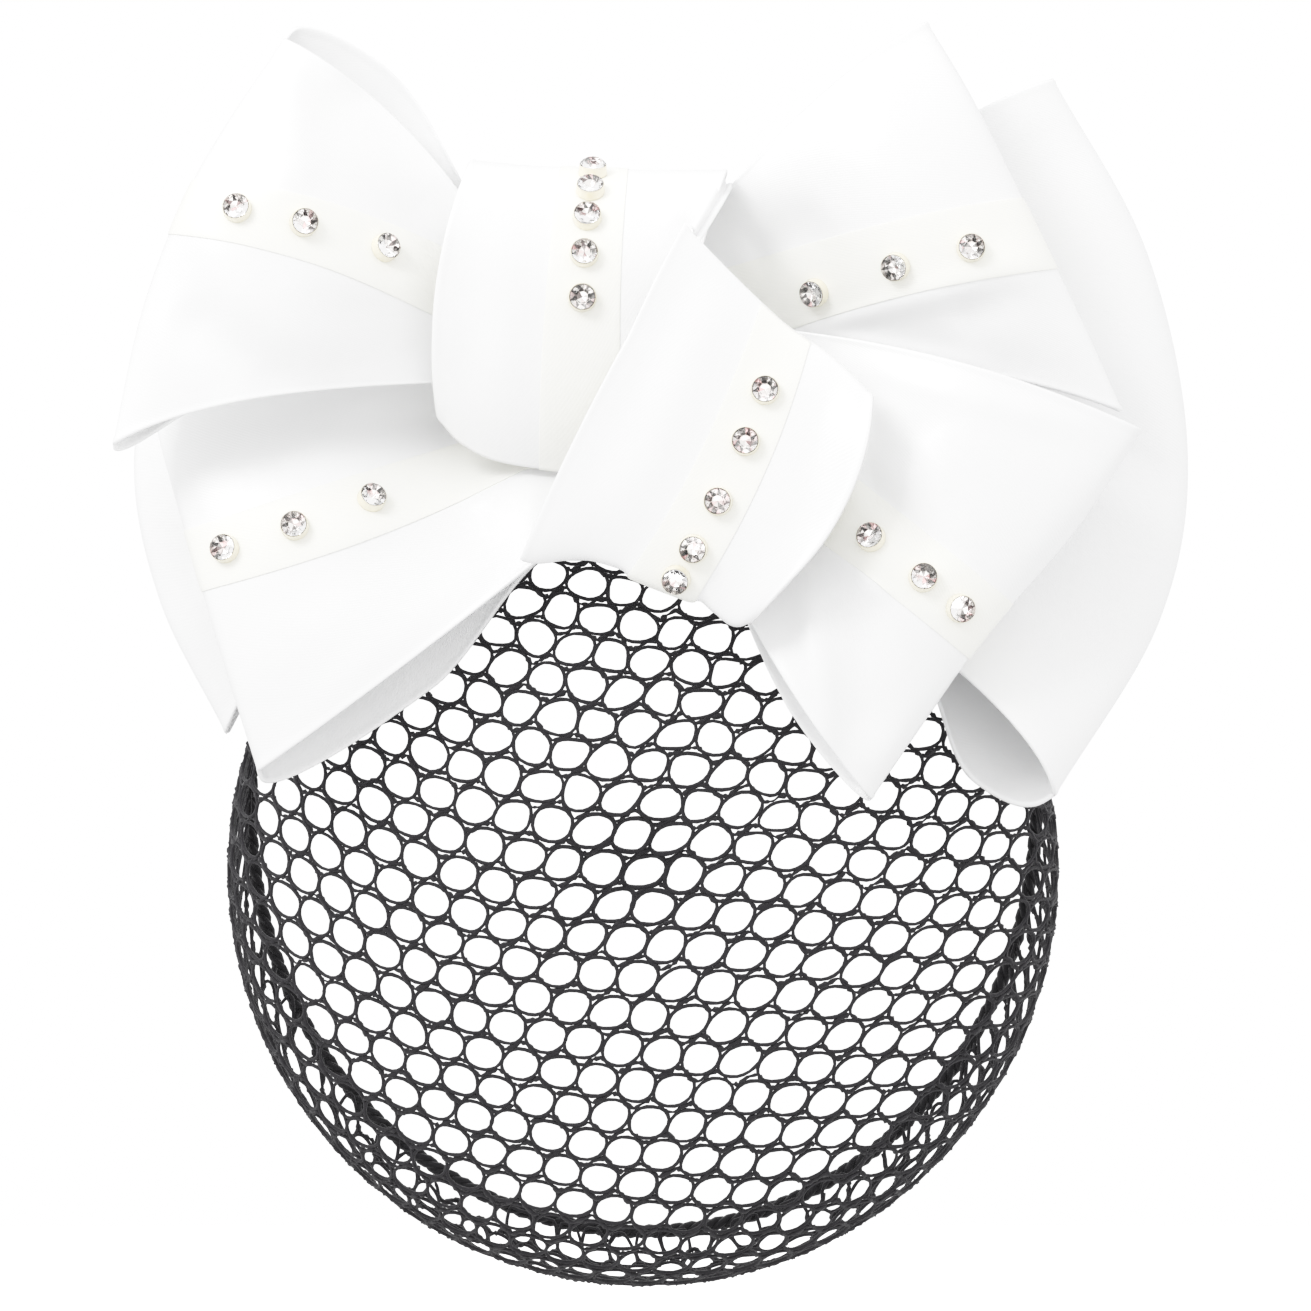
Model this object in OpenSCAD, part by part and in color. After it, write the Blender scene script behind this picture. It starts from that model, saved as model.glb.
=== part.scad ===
// A bow barrette with a bun net, in millimetres.
// The origin is the middle of the barrette's back. +X is the wearer's right seen from behind the head,
// +Z is up, and -Y is the front, where the bow and the net face.

/* [Net] */
// Radius of the stuffed net at its widest line
net_r = 46; // [40:1:50]
// Height of the net's middle under the barrette
net_drop = 59.7; // [56:0.1:62]
// Distance of the net's widest line from the head
net_wide_y = 14; // [10:0.5:16]
// Distance of the net's front from the head
net_front_y = 36.5; // [30:0.5:37]
// Depth of the dimple in the middle of the front
dimple_depth = 6; // [2:0.5:8]
// Radius of the dimple
dimple_r = 7; // [5:0.5:10]
// Thickness of the knitted wall
net_wall = 1; // [0.8:0.1:1.2]
// Rows of meshes in the coarse net
net_rows = 11; // [7:2:11]
// Part of a mesh's width that is open
mesh_open = 0.76; // [0.6:0.01:0.85]
// How far the rows of meshes fall to the right, in degrees
row_lean = 7; // [0:1:15]

/* [Mouth of the net] */
// Half of the oval mouth's width
mouth_r = 44; // [42:0.5:44.5]
// Half of the oval mouth's height
mouth_high = 47.6; // [46:0.1:48]
// Height of the mouth's middle under the barrette
mouth_drop = 52.7; // [52.6:0.1:53.5]
// Radius of the elastic cord along the mouth
elastic_r = 0.85; // [0.6:0.05:0.9]

/* [Ribbon] */
// Thickness of the satin ribbon's wall
ribbon_wall = 1; // [0.8:0.1:1]
// Width of the narrow trim ribbon
trim_w = 7.4; // [6:0.1:8]
// Thickness of the trim ribbon
trim_wall = 0.5; // [0.3:0.1:0.5]
// Gap between pieces that lie on each other
seat_gap = 0.1; // [0.05:0.01:0.12]
// Half of a loop's thickness where it goes into the knot
knot_half = 2.8; // [2:0.1:2.8]

/* [Knot] */
// Depth of the upright band's front, before the barrette's plate
wrap_front = 29.1; // [29:0.1:29.4]
// Depth of the upright band's back
wrap_back = 0.7; // [0.6:0.1:0.8]
// Half of the crossing band's thickness
cross_half = 3.2; // [2.8:0.1:3.3]

/* [Stones] */
// Radius of a stone at its girdle
stone_r = 1.55; // [1.3:0.05:1.6]
// Radius of a stone's table
table_r = 0.9; // [0.7:0.05:1]
// Height of the crown over the girdle
crown_h = 0.5; // [0.4:0.05:0.6]
// Depth of the pavilion under the girdle
pavilion_h = 0.75; // [0.6:0.05:0.8]
// Facets round a stone
stone_facets = 8; // [8:1:10]
// Outer radius of a setting
cup_r = 1.9; // [1.85:0.05:2]
// Height of a setting
cup_h = 1.1; // [1:0.05:1.2]
// Thickness of a setting's floor
cup_floor = 0.3; // [0.2:0.05:0.3]

/* [Barrette] */
// Length of the barrette
clip_l = 78; // [70:1:80]
// Height of the barrette's plate
clip_w = 8; // [6:0.5:8]
// Distance of the plate's front from the head
clip_depth = 9; // [8:0.1:9]
// Thickness of the barrette's metal
clip_wall = 0.8; // [0.6:0.1:1]

/* [Hidden] */
$fn = 48;

// The ribbon loops. Each row is a line along the ribbon, from one selvage to the other: downwards on the left
// and upwards on the right. It runs from the knot to the outer fold, bent towards a middle point. Depths are
// in front of the barrette's plate, and puff is half of the loop's thickness.
// [knot x, knot z, middle x, middle z, fold x, fold z, knot depth, fold depth, puff,
//  rear panel's shift x, rear panel's shift z]
UPPER_LEFT = [
    [-15.7,   8.8, -26.2,  25.3, -39.4,  32.1,  20.8,  17.5,   4.2,   1.9,   2.4],
    [-15.7,   5.5, -32.8,  19.6, -46.0,  22.0,  20.8,  21.5,   7.5,   1.0,   0.8],
    [-15.7,   2.8, -34.4,  12.7, -50.5,  13.5,  20.8,  24.5,   8.0,   0.0,   0.0],
    [-15.7,  -1.6, -37.7,   1.3, -54.8,   1.6,  20.8,  27.0,   6.0,   0.0,   0.0],
    [-15.7,  -5.7, -46.5,  -6.0, -57.8, -12.7,  20.8,  29.5,   3.2,   0.0,  -1.0],
];
LOWER_LEFT = [
    [-15.7,  -7.2, -37.7,  -8.2, -54.5,  -7.2,  13.9,  18.5,   3.0,   0.0,   0.0],
    [-14.6,  -9.3, -37.7, -13.8, -52.0, -15.9,  13.9,  21.0,   4.6,   0.0,   0.0],
    [-13.5, -12.7, -34.4, -20.9, -49.2, -25.3,  16.0,  23.5,   5.6,   0.0,   0.0],
    [-12.4, -17.6, -30.0, -30.8, -45.9, -36.3,  22.5,  26.0,   5.2,   0.0,  -1.0],
    [-11.3, -25.3, -25.6, -36.9, -42.0, -48.4,  26.5,  27.5,   3.8,   0.5,  -4.4],
];
BACK_LEFT = [
    [-13.5,   7.2, -37.7,  14.3, -45.4,  19.8,   7.0,   4.5,   4.0,   0.0,   0.0],
    [-13.5,   4.4, -39.9,   5.5, -53.1,   3.3,   7.0,   5.0,   4.5,   0.0,   0.0],
    [-13.5,   0.0, -38.8,  -7.7, -56.3, -14.3,   7.0,   7.0,   5.5,   0.0,   0.0],
    [-13.5,  -3.3, -37.7, -16.5, -53.4, -29.7,   7.5,   8.0,   5.0,   0.0,   0.0],
    [-13.5,  -5.0, -36.6, -22.0, -46.1, -44.2,   7.5,   9.5,   4.5,   0.0,  -1.5],
];
UPPER_RIGHT = [
    [ 15.1,  -4.4,  34.9,  -2.2,  52.6,  -8.9,  13.9,  19.5,   3.2,   0.0,   0.0],
    [ 12.9,  -1.6,  31.6,   2.2,  48.6,   0.0,  13.9,  20.0,   4.6,   0.0,   0.0],
    [ 10.7,   1.1,  28.3,   8.2,  43.7,  10.1,  13.9,  20.0,   6.2,   0.0,   0.0],
    [  7.9,   8.2,  22.8,  18.7,  36.5,  24.8,  13.9,  18.5,   6.2,   0.0,   0.0],
    [  6.8,  12.7,  20.6,  28.6,  31.2,  34.1,  13.9,  14.5,   4.5,   0.0,   0.0],
];
LOWER_RIGHT = [
    [  8.5, -25.3,  14.5, -39.0,  24.8, -51.4,  26.9,  32.0,   3.4,  -1.0,  -1.0],
    [ 10.7, -20.9,  21.7, -31.9,  31.0, -42.4,  26.0,  31.5,   4.4,   0.0,   0.0],
    [ 12.9, -13.8,  25.2, -23.1,  37.6, -33.2,  24.2,  30.9,   5.0,   0.0,   0.0],
    [ 14.5,  -6.6,  31.6, -12.1,  47.2, -22.0,  23.5,  30.0,   4.8,   0.0,   0.0],
    [ 15.1,   0.0,  34.9,  -2.2,  54.5, -11.0,  23.5,  29.1,   3.4,   0.0,   0.0],
];
BACK_RIGHT = [
    [ 23.9, -29.1,  43.7, -43.5,  45.1, -51.1,  21.2,  24.2,   4.2,  -1.5,  -4.0],
    [ 18.4, -11.0,  39.3, -26.4,  56.9, -31.9,  10.0,  13.5,   6.0,  -0.5,  -1.5],
    [ 15.1,  -1.1,  40.4, -11.0,  60.2, -13.2,   7.5,   8.0,   5.8,   0.0,   0.0],
    [ 13.4,   4.4,  39.3,   6.6,  55.8,   8.8,   7.5,   6.0,   5.0,   0.0,   0.0],
    [ 12.9,   9.9,  37.1,  25.9,  45.4,  28.2,   7.5,   4.5,   4.0,   0.0,   0.0],
];

// The upright band. Each row is a line round the knot, from the right selvage to the left one.
// [top x, top z, middle x, bottom x, bottom z]
WRAP = [
    [  9.3,  17.6,   5.2,   5.2, -14.3],
    [  1.9,  17.6,   0.8,   0.8, -15.9],
    [ -5.4,  17.8,  -6.7,  -5.8, -15.9],
    [-12.4,  18.1, -14.6, -16.3, -14.5],
    [-19.0,  18.7, -22.8, -22.3, -11.0],
];

// The crossing band. Each row is a line down its front, from the left selvage to the right one.
// [top x, top z, middle x, middle z, bottom x, bottom z, top depth, bottom depth]
CROSS = [
    [  5.2,   9.9,  -4.7,  -4.4, -13.3, -25.3,  32.9,  34.5],
    [ 10.4,   5.0,   3.3, -10.3,  -5.3, -26.0,  33.2,  34.7],
    [ 15.6,   0.2,  11.2, -15.4,   2.8, -28.8,  33.5,  34.9],
    [ 20.6,  -3.3,  17.8, -17.9,   7.6, -30.8,  34.6,  35.5],
    [ 25.0,  -7.7,  25.0, -19.8,  12.0, -32.8,  37.0,  36.9],
];

// The ribbons. A loop's tail is where its inner end lies in the knot, or undef where it ends at the knot's edge.
// The trim runs from its first angle round the ribbon to its last one.
// [name, rows, tail x, first angle of the trim, last angle of the trim]
RIBBONS = [
    ["upper_left", UPPER_LEFT, -1, 72, 216],
    ["lower_left", LOWER_LEFT, -1, 72, 216],
    ["back_left", BACK_LEFT, -1, 0, 0],
    ["upper_right", UPPER_RIGHT, 1, 72, 216],
    ["lower_right", LOWER_RIGHT, undef, 54, 216],
    ["back_right", BACK_RIGHT, undef, 0, 0],
    ["wrap", WRAP, undef, -54, 114],
    ["cross", CROSS, undef, 15, 180],
];

// The stones, by the ribbon that they sit on and their angles round it
STONES = [
    ["upper_left", [134, 111, 88]],
    ["lower_left", [144, 116, 94]],
    ["upper_right", [78, 102, 127]],
    ["lower_right", [89, 115, 138]],
    ["wrap", [68, 52, 36, 20, 5]],
    ["cross", [58, 81, 107, 131, 153]],
];

loop_step = 18;
wrap_first = -54;
wrap_last = 210;
wrap_step = 12;
cross_step = 15;
loop_angles = [for (a = [0 : loop_step : 359]) a];
cross_angles = [for (a = [0 : cross_step : 359]) a];
wrap_angles = [for (a = [wrap_first : wrap_step : wrap_last]) a];

// Shares of a loop's length: its hidden tail, where its depth settles and where its puff is full
tail_share = 0.2;
settle_share = 0.6;
puff_share = 0.8;
// Powers that square off the round of a loop, of the upright band and of the crossing band
loop_power = 0.65;
wrap_power = 0.8;
cross_power = 0.7;

function row_named(table, name) = [for (r = table) if (r[0] == name) r][0];
function clamp(t) = min(max(t, 0), 1);
function ease(t) = let(c = clamp(t)) c * c * (3 - 2 * c);
function rounded(s, power) = sign(s) * pow(abs(s), power);
function bend(a, b, c, t) = a * (1 - t) * (1 - t) + b * 2 * t * (1 - t) + c * t * t;

// A smooth curve through a table's rows, at a share v of the way across
function across(rows, v) =
    let(
        last = len(rows) - 1,
        p = clamp(v) * last,
        i = min(floor(p), last - 1),
        f = p - i,
        a = i > 0 ? rows[i - 1] : 2 * rows[0] - rows[1],
        b = rows[i],
        c = rows[i + 1],
        d = i + 2 <= last ? rows[i + 2] : 2 * rows[last] - rows[last - 1]
    )
    0.5 * (2 * b + (c - a) * f + (2 * a - 5 * b + 4 * c - d) * f * f + (3 * b - a - 3 * c + d) * f * f * f);

// A point of a loop: angle 0 is at the knot, 90 on the front, 180 at the outer fold and 270 on the rear
function loop_point(rows, tail, angle, v) =
    let(
        r = across(rows, v),
        s = (1 - cos(angle)) / 2,
        hidden = is_undef(tail) ? 0 : tail_share,
        t = max((s - hidden) / (1 - hidden), 0),
        knot = [r[0], r[1]],
        plan = s >= hidden
            ? bend(knot, [r[2], r[3]], [r[4], r[5]], t)
            : [tail + (r[0] - tail) * s / hidden, r[1]],
        depth = r[6] + (r[7] - r[6]) * ease(t / settle_share),
        half = knot_half + (r[8] - knot_half) * ease(t / puff_share),
        rear = pow(max(-sin(angle), 0), loop_power) * ease(t * 1.5)
    )
    [
        plan[0] + r[9] * rear,
        -clip_depth - depth - half * rounded(sin(angle), loop_power),
        plan[1] + r[10] * rear,
    ];

// A point of the upright band: angle 0 is its front, 90 its top and 180 its back
function wrap_point(angle, v) =
    let(
        r = across(WRAP, v),
        mid_z = (r[1] + r[4]) / 2,
        half_z = (r[1] - r[4]) / 2,
        half_y = (wrap_front - wrap_back) / 2,
        z = mid_z + half_z * rounded(sin(angle), wrap_power),
        fall = (r[1] - z) / (r[1] - r[4])
    )
    [
        bend(r[0], 2 * r[2] - (r[0] + r[3]) / 2, r[3], fall),
        -clip_depth - (wrap_front + wrap_back) / 2 - half_y * rounded(cos(angle), wrap_power),
        z,
    ];

// A point of the crossing band: angle 0 is its top, 90 its front, 180 its bottom and 270 its rear
function cross_point(angle, v) =
    let(
        r = across(CROSS, v),
        s = (1 - cos(angle)) / 2,
        plan = bend([r[0], r[1]], [r[2], r[3]], [r[4], r[5]], s),
        depth = r[6] + (r[7] - r[6]) * s,
        half = cross_half * (sin(angle) > 0 ? 1.15 : 0.85)
    )
    [plan[0], -clip_depth - depth - half * rounded(sin(angle), cross_power), plan[1]];

// The surface of a ribbon, as a function of the angle round it and the share across it
function ribbon_surface(name) =
    name == "wrap" ? function (a, v) wrap_point(a, v)
    : name == "cross" ? function (a, v) cross_point(a, v)
    : let(r = row_named(RIBBONS, name)) function (a, v) loop_point(r[1], r[2], a, v);

// Shares across a ribbon: steps from each selvage to the edge of the trim, which keeps its width
function shares(f, a, steps) =
    let(edge = 0.5 - min(trim_w / 2 / norm(f(a, 1) - f(a, 0)), 0.3))
    concat([for (i = [0 : steps]) edge * i / steps], [for (i = [steps : -1 : 0]) 1 - edge * i / steps]);

function normal(f, a, v) =
    let(
        along = f(a + 0.4, v) - f(a - 0.4, v),
        over = f(a, min(v + 0.004, 1)) - f(a, max(v - 0.004, 0)),
        n = cross(along, over)
    )
    n / norm(n);

function sheet(f, angles, share_lists, offset) =
    [for (i = [0 : len(angles) - 1]) for (v = share_lists[i]) f(angles[i], v) + offset * normal(f, angles[i], v)];

// Two triangles of a four-sided patch
function patch(a, b, c, d) = [[a, b, c], [a, c, d]];

// A wall between two offsets of a surface, closed to a ring or open with two ends
module wall(f, angles, share_lists, low, high, ring) {
    across_n = len(share_lists[0]);
    along_n = len(angles);
    back = along_n * across_n;
    points = concat(sheet(f, angles, share_lists, high), sheet(f, angles, share_lists, low));
    faces = [
        for (i = [0 : along_n - (ring ? 1 : 2)])
            let(here = i * across_n, next = ((i + 1) % along_n) * across_n)
            each concat(
                [for (k = [0 : across_n - 2])
                    each concat(
                        patch(here + k + 1, next + k + 1, next + k, here + k),
                        patch(back + next + k, back + next + k + 1, back + here + k + 1, back + here + k)
                    )],
                patch(here, next, back + next, back + here),
                patch(
                    back + here + across_n - 1, back + next + across_n - 1,
                    next + across_n - 1, here + across_n - 1
                )
            ),
        if (!ring) for (k = [0 : across_n - 2]) each concat(
            patch(back + k, back + k + 1, k + 1, k),
            let(end = (along_n - 1) * across_n)
            patch(end + k, end + k + 1, back + end + k + 1, back + end + k)
        ),
    ];
    polyhedron(points, faces, convexity = 10);
}

module loop(name) {
    f = ribbon_surface(name);
    color([0.97, 0.97, 0.97])
        wall(f, loop_angles, [for (a = loop_angles) shares(f, a, 3)], -ribbon_wall / 2, ribbon_wall / 2, true);
}

module knot_wrap() {
    f = ribbon_surface("wrap");
    color([0.97, 0.97, 0.97])
        wall(f, wrap_angles, [for (a = wrap_angles) shares(f, a, 2)], -ribbon_wall / 2, ribbon_wall / 2, false);
}

module knot_cross() {
    f = ribbon_surface("cross");
    color([0.97, 0.97, 0.97])
        wall(f, cross_angles, [for (a = cross_angles) shares(f, a, 2)], -ribbon_wall / 2, ribbon_wall / 2, true);
}

// The trim lies on the ribbon, between the same lines of facets
trim_low = ribbon_wall / 2 + seat_gap;
function step_of(name) = name == "wrap" ? wrap_step : name == "cross" ? cross_step : loop_step;
module trim(name) {
    f = ribbon_surface(name);
    r = row_named(RIBBONS, name);
    angles = [for (a = [r[3] : step_of(name) : r[4]]) a];
    color([0.98, 0.97, 0.9]) wall(
        f, angles, [for (a = angles) let(s = shares(f, a, 1)) [s[1], s[2]]],
        trim_low, trim_low + trim_wall, false
    );
}

// The two ends of a line of facets across the trim's top
function trim_line(f, a) =
    let(s = shares(f, a, 1)) sheet(f, [a], [[s[1], s[2]]], trim_low + trim_wall);

// Puts a piece on the middle of a facet of the trim, with its Z along the facet's normal
module on_trim(name, angle) {
    f = ribbon_surface(name);
    first = row_named(RIBBONS, name)[3];
    step = step_of(name);
    share = (angle - first) / step;
    here = trim_line(f, first + floor(share) * step);
    next = trim_line(f, first + (floor(share) + 1) * step);
    along = (next[0] + next[1] - here[0] - here[1]) / 2;
    over = here[1] + next[1] - here[0] - next[0];
    up = cross(along, over) / norm(cross(along, over));
    fore = along / norm(along);
    side = cross(up, fore);
    // A facet's own diagonal can stand over its middle
    bulge = max((here[1] + next[0] - here[0] - next[1]) * up / 4, 0);
    at = (here[0] + here[1]) / 2 + along * (share - floor(share)) + up * (seat_gap + bulge);
    multmatrix([
        [fore[0], side[0], up[0], at[0]],
        [fore[1], side[1], up[1], at[1]],
        [fore[2], side[2], up[2], at[2]],
        [0, 0, 0, 1],
    ]) children();
}

// A setting is a small cup whose inside leaves room for the stone's pavilion
module cup() {
    rotate_extrude()
        polygon([
            [0, 0], [cup_r, 0], [cup_r, cup_h], [stone_r + seat_gap, cup_h],
            [0.4, cup_floor], [0, cup_floor],
        ]);
}

module cups(row) {
    color([0.93, 0.87, 0.74]) for (angle = row[1]) on_trim(row[0], angle) cup();
}

// A round cut stone: a table, a crown of facets, a thin girdle and a pavilion of facets
module cut_stone() {
    girdle = 0.15;
    low = cup_floor + seat_gap;
    turn = 360 / stone_facets;
    ring = [for (i = [0 : stone_facets - 1]) [cos(i * turn), sin(i * turn)]];
    culet_z = low;
    girdle_z = low + pavilion_h;
    points = concat(
        [for (p = ring) [table_r * p[0], table_r * p[1], girdle_z + girdle + crown_h]],
        [for (p = ring) [stone_r * p[0], stone_r * p[1], girdle_z + girdle]],
        [for (p = ring) [stone_r * p[0], stone_r * p[1], girdle_z]],
        [[0, 0, culet_z]]
    );
    n = stone_facets;
    faces = [
        for (i = [1 : n - 2]) [0, i + 1, i],
        for (i = [0 : n - 1]) let(j = (i + 1) % n) each concat(
            patch(i, j, n + j, n + i),
            patch(n + i, n + j, 2 * n + j, 2 * n + i),
            [[2 * n + i, 2 * n + j, 3 * n]]
        ),
    ];
    polyhedron(points, faces, convexity = 2);
}

module stone(name, angle) {
    color([0.9, 0.87, 0.88]) on_trim(name, angle) cut_stone();
}

// A point of the stuffed net: q is 0 at the front's middle, 1 at the widest line and mouth_q at the mouth
mouth_q = 1.2;
function net_place(q, turn) =
    let(
        past = (q - 1) / (mouth_q - 1) * 90,
        r = q <= 1 ? net_r * pow(sin(90 * q), 0.9) : net_r + (mouth_r - net_r) * (1 - cos(past)),
        y = q <= 1
            ? net_wide_y + (net_front_y - net_wide_y) * sqrt(max(0, 1 - pow(r / net_r, 2)))
            : net_wide_y + (net_mouth_y - net_wide_y) * sin(past),
        z = q <= 1 ? -net_drop : -net_drop + (net_drop - mouth_drop) * (1 - cos(past)),
        high = q <= 1 ? 1 : 1 + (mouth_high / mouth_r - 1) * (1 - cos(past)),
        dimple = dimple_depth * exp(-pow(r / dimple_r, 2))
    )
    [r * sin(turn), dimple - y, z + r * high * cos(turn)];
net_mouth_y = 2 * elastic_r + 2 * seat_gap + net_wall / 2 + 0.05;

// The net's meshes lie in rows on a square, which is pressed round to a disc
function net_disc(u, w) =
    let(
        x = u * sqrt(1 - w * w / 2),
        z = w * sqrt(1 - u * u / 2),
        turn = atan2(x, z) + row_lean
    )
    [min(norm([x, z]), 1), turn];
function net_surface(u, w) = let(d = net_disc(u, w)) net_place(d[0] * mouth_q, d[1]);
function net_normal(u, w) =
    let(
        e = 0.01,
        a = net_surface(min(u + e, 1), w) - net_surface(max(u - e, -1), w),
        b = net_surface(u, min(w + e, 1)) - net_surface(u, max(w - e, -1)),
        n = cross(a, b)
    )
    n / norm(n);

// Lines between rows hold the corners of the rows above and below: whole columns and half ones
net_cols = net_rows;
line_n = 2 * net_cols - 1;
function line_u(k) = k == 0 ? 0 : k == line_n - 1 ? net_cols : (k + 1) / 2;
function is_even(i) = i % 2 == 0;
// The lines zigzag: a corner of the row above lies high, and one of the row below lies low
zigzag = 0.1;
function line_lift(j, k) =
    j == 0 || j == net_rows || k == 0 || k == line_n - 1 ? 0
    : (is_even(j) == (line_u(k) == floor(line_u(k)))) ? zigzag : -zigzag;
function line_point(j, k) = [2 * line_u(k) / net_cols - 1, 2 * (j + line_lift(j, k)) / net_rows - 1];
// A cell is one mesh with the walls round it, given by its first and last place on its lines
function cells(j) =
    is_even(j)
    ? [for (c = [0 : net_cols - 1]) [max(2 * c - 1, 0), min(2 * c + 1, line_n - 1)]]
    : [for (c = [0 : net_cols - 2]) [2 * c, 2 * c + 2]];

module net_pouch() {
    lines = [for (j = [0 : net_rows]) for (k = [0 : line_n - 1]) line_point(j, k)];
    all_cells = [
        for (j = [0 : net_rows - 1]) for (c = cells(j)) concat(
            [for (k = [c[0] : c[1]]) j * line_n + k],
            [for (k = [c[1] : -1 : c[0]]) (j + 1) * line_n + k]
        ),
    ];
    holes = [
        for (c = all_cells)
            let(corners = [for (i = c) lines[i]], mid = [for (p = corners) 1] * corners / len(corners))
            [for (p = corners) mid + (p - mid) * mesh_open],
    ];
    starts = [for (i = 0, s = len(lines); i < len(holes); s = s + len(holes[i]), i = i + 1) s];
    flat = concat(lines, [for (h = holes) each h]);
    n = len(flat);
    points = concat(
        [for (p = flat) net_surface(p[0], p[1]) + net_normal(p[0], p[1]) * net_wall / 2],
        [for (p = flat) net_surface(p[0], p[1]) - net_normal(p[0], p[1]) * net_wall / 2]
    );
    edge = concat(
        [for (k = [0 : line_n - 1]) k],
        [for (j = [1 : net_rows]) j * line_n + line_n - 1],
        [for (k = [line_n - 2 : -1 : 0]) net_rows * line_n + k],
        [for (j = [net_rows - 1 : -1 : 1]) j * line_n]
    );
    faces = [
        for (c = [0 : len(all_cells) - 1])
            let(cell = all_cells[c], m = len(cell))
            for (i = [0 : m - 1])
                let(a = cell[i], b = cell[(i + 1) % m], p = starts[c] + i, q = starts[c] + (i + 1) % m)
                each concat(patch(p, q, b, a), patch(n + a, n + b, n + q, n + p), patch(n + p, n + q, q, p)),
        for (i = [0 : len(edge) - 1])
            let(a = edge[i], b = edge[(i + 1) % len(edge)])
            each patch(a, b, n + b, n + a),
    ];
    color([0.16, 0.16, 0.17]) polyhedron(points, faces, convexity = 10);
}

// The elastic cord lies along the oval mouth
module elastic_edge() {
    turns = 120;
    sides = 12;
    points = [
        for (i = [0 : turns - 1])
            let(a = 360 * i / turns, way = [mouth_high * sin(a), mouth_r * cos(a)], out = way / norm(way))
            for (k = [0 : sides - 1])
                let(b = 360 * k / sides, r = elastic_r * cos(b))
                [mouth_r * sin(a) + out[0] * r, elastic_r * (sin(b) - 1) - seat_gap, mouth_high * cos(a) - mouth_drop + out[1] * r],
    ];
    faces = [
        for (i = [0 : turns - 1]) for (k = [0 : sides - 1])
            let(i2 = (i + 1) % turns, k2 = (k + 1) % sides)
            each patch(i * sides + k, i * sides + k2, i2 * sides + k2, i2 * sides + k),
    ];
    color([0.12, 0.12, 0.13]) polyhedron(points, faces, convexity = 4);
}

// The barrette is one plain piece: a plate behind the bow, and an arm against the head that bows away
// from the plate and meets it near both ends
module barrette() {
    end_r = clip_w / 2;
    hole_r = 1.2;
    arm_w = 5;
    reach = clip_l / 2 - 6;
    rise = clip_depth - clip_wall;
    arc_r = (reach * reach + rise * rise) / (2 * rise);
    color([0.75, 0.76, 0.78]) union() {
        translate([0, clip_wall - clip_depth, 0]) rotate([90, 0, 0]) linear_extrude(clip_wall)
            difference() {
                union() {
                    square([clip_l - 2 * end_r, clip_w], center = true);
                    for (x = [-1, 1]) translate([x * (clip_l / 2 - end_r), 0]) circle(end_r);
                }
                for (x = [-1, 1]) translate([x * (clip_l / 2 - 2 * hole_r), 0]) circle(hole_r);
            }
        translate([0, 0, -arm_w / 2]) linear_extrude(arm_w)
            intersection() {
                translate([0, -arc_r]) difference() {
                    circle(arc_r, $fn = 240);
                    circle(arc_r - clip_wall, $fn = 240);
                }
                translate([-clip_l / 2, clip_wall / 2 - clip_depth]) square([clip_l, clip_depth]);
            }
    }
}

LOOPS = ["upper_left", "lower_left", "back_left", "upper_right", "lower_right", "back_right"];
TRIMS = [for (s = STONES) s[0]];
function stone_name(s, i) = str("stone_", s[0], "_", i + 1);

barrette();
net_pouch();
elastic_edge();
knot_wrap();
knot_cross();
for (l = LOOPS) loop(l);
for (t = TRIMS) trim(t);
for (s = STONES) cups(s);
for (s = STONES) for (i = [0 : len(s[1]) - 1])
    stone(s[0], s[1][i]);
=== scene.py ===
"""The looks of a bow barrette with a bun net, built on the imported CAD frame. Metres, front is -Y."""
import math

import bmesh
import bpy
import numpy as np
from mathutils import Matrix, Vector


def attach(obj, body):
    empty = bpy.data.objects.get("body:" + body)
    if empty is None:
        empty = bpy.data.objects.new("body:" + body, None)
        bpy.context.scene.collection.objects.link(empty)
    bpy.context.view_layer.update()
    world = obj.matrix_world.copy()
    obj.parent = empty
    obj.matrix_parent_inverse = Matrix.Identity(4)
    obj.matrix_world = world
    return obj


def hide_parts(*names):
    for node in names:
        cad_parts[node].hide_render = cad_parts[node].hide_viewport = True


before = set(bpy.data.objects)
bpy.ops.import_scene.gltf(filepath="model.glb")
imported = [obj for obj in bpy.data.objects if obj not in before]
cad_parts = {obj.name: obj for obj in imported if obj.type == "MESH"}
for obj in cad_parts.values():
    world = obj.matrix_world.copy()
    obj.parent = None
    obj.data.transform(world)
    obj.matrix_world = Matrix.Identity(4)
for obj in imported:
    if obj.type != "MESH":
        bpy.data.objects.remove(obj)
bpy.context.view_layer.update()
scene = bpy.context.scene
rng = np.random.default_rng(7)
MM = 0.001

# Driving dimensions in mm, the same as the part's source
CLIP_DEPTH = 9  # of the barrette; the tables' depths begin in front of it
KNOT_HALF = 2.8  # half of a loop's depth where it leaves the knot
CROSS_HALF = 3.2  # half of the crossing band's depth
WRAP_FRONT, WRAP_BACK = 29.1, 0.7  # the upright band's front and back
TRIM_W = 7.4

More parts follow.
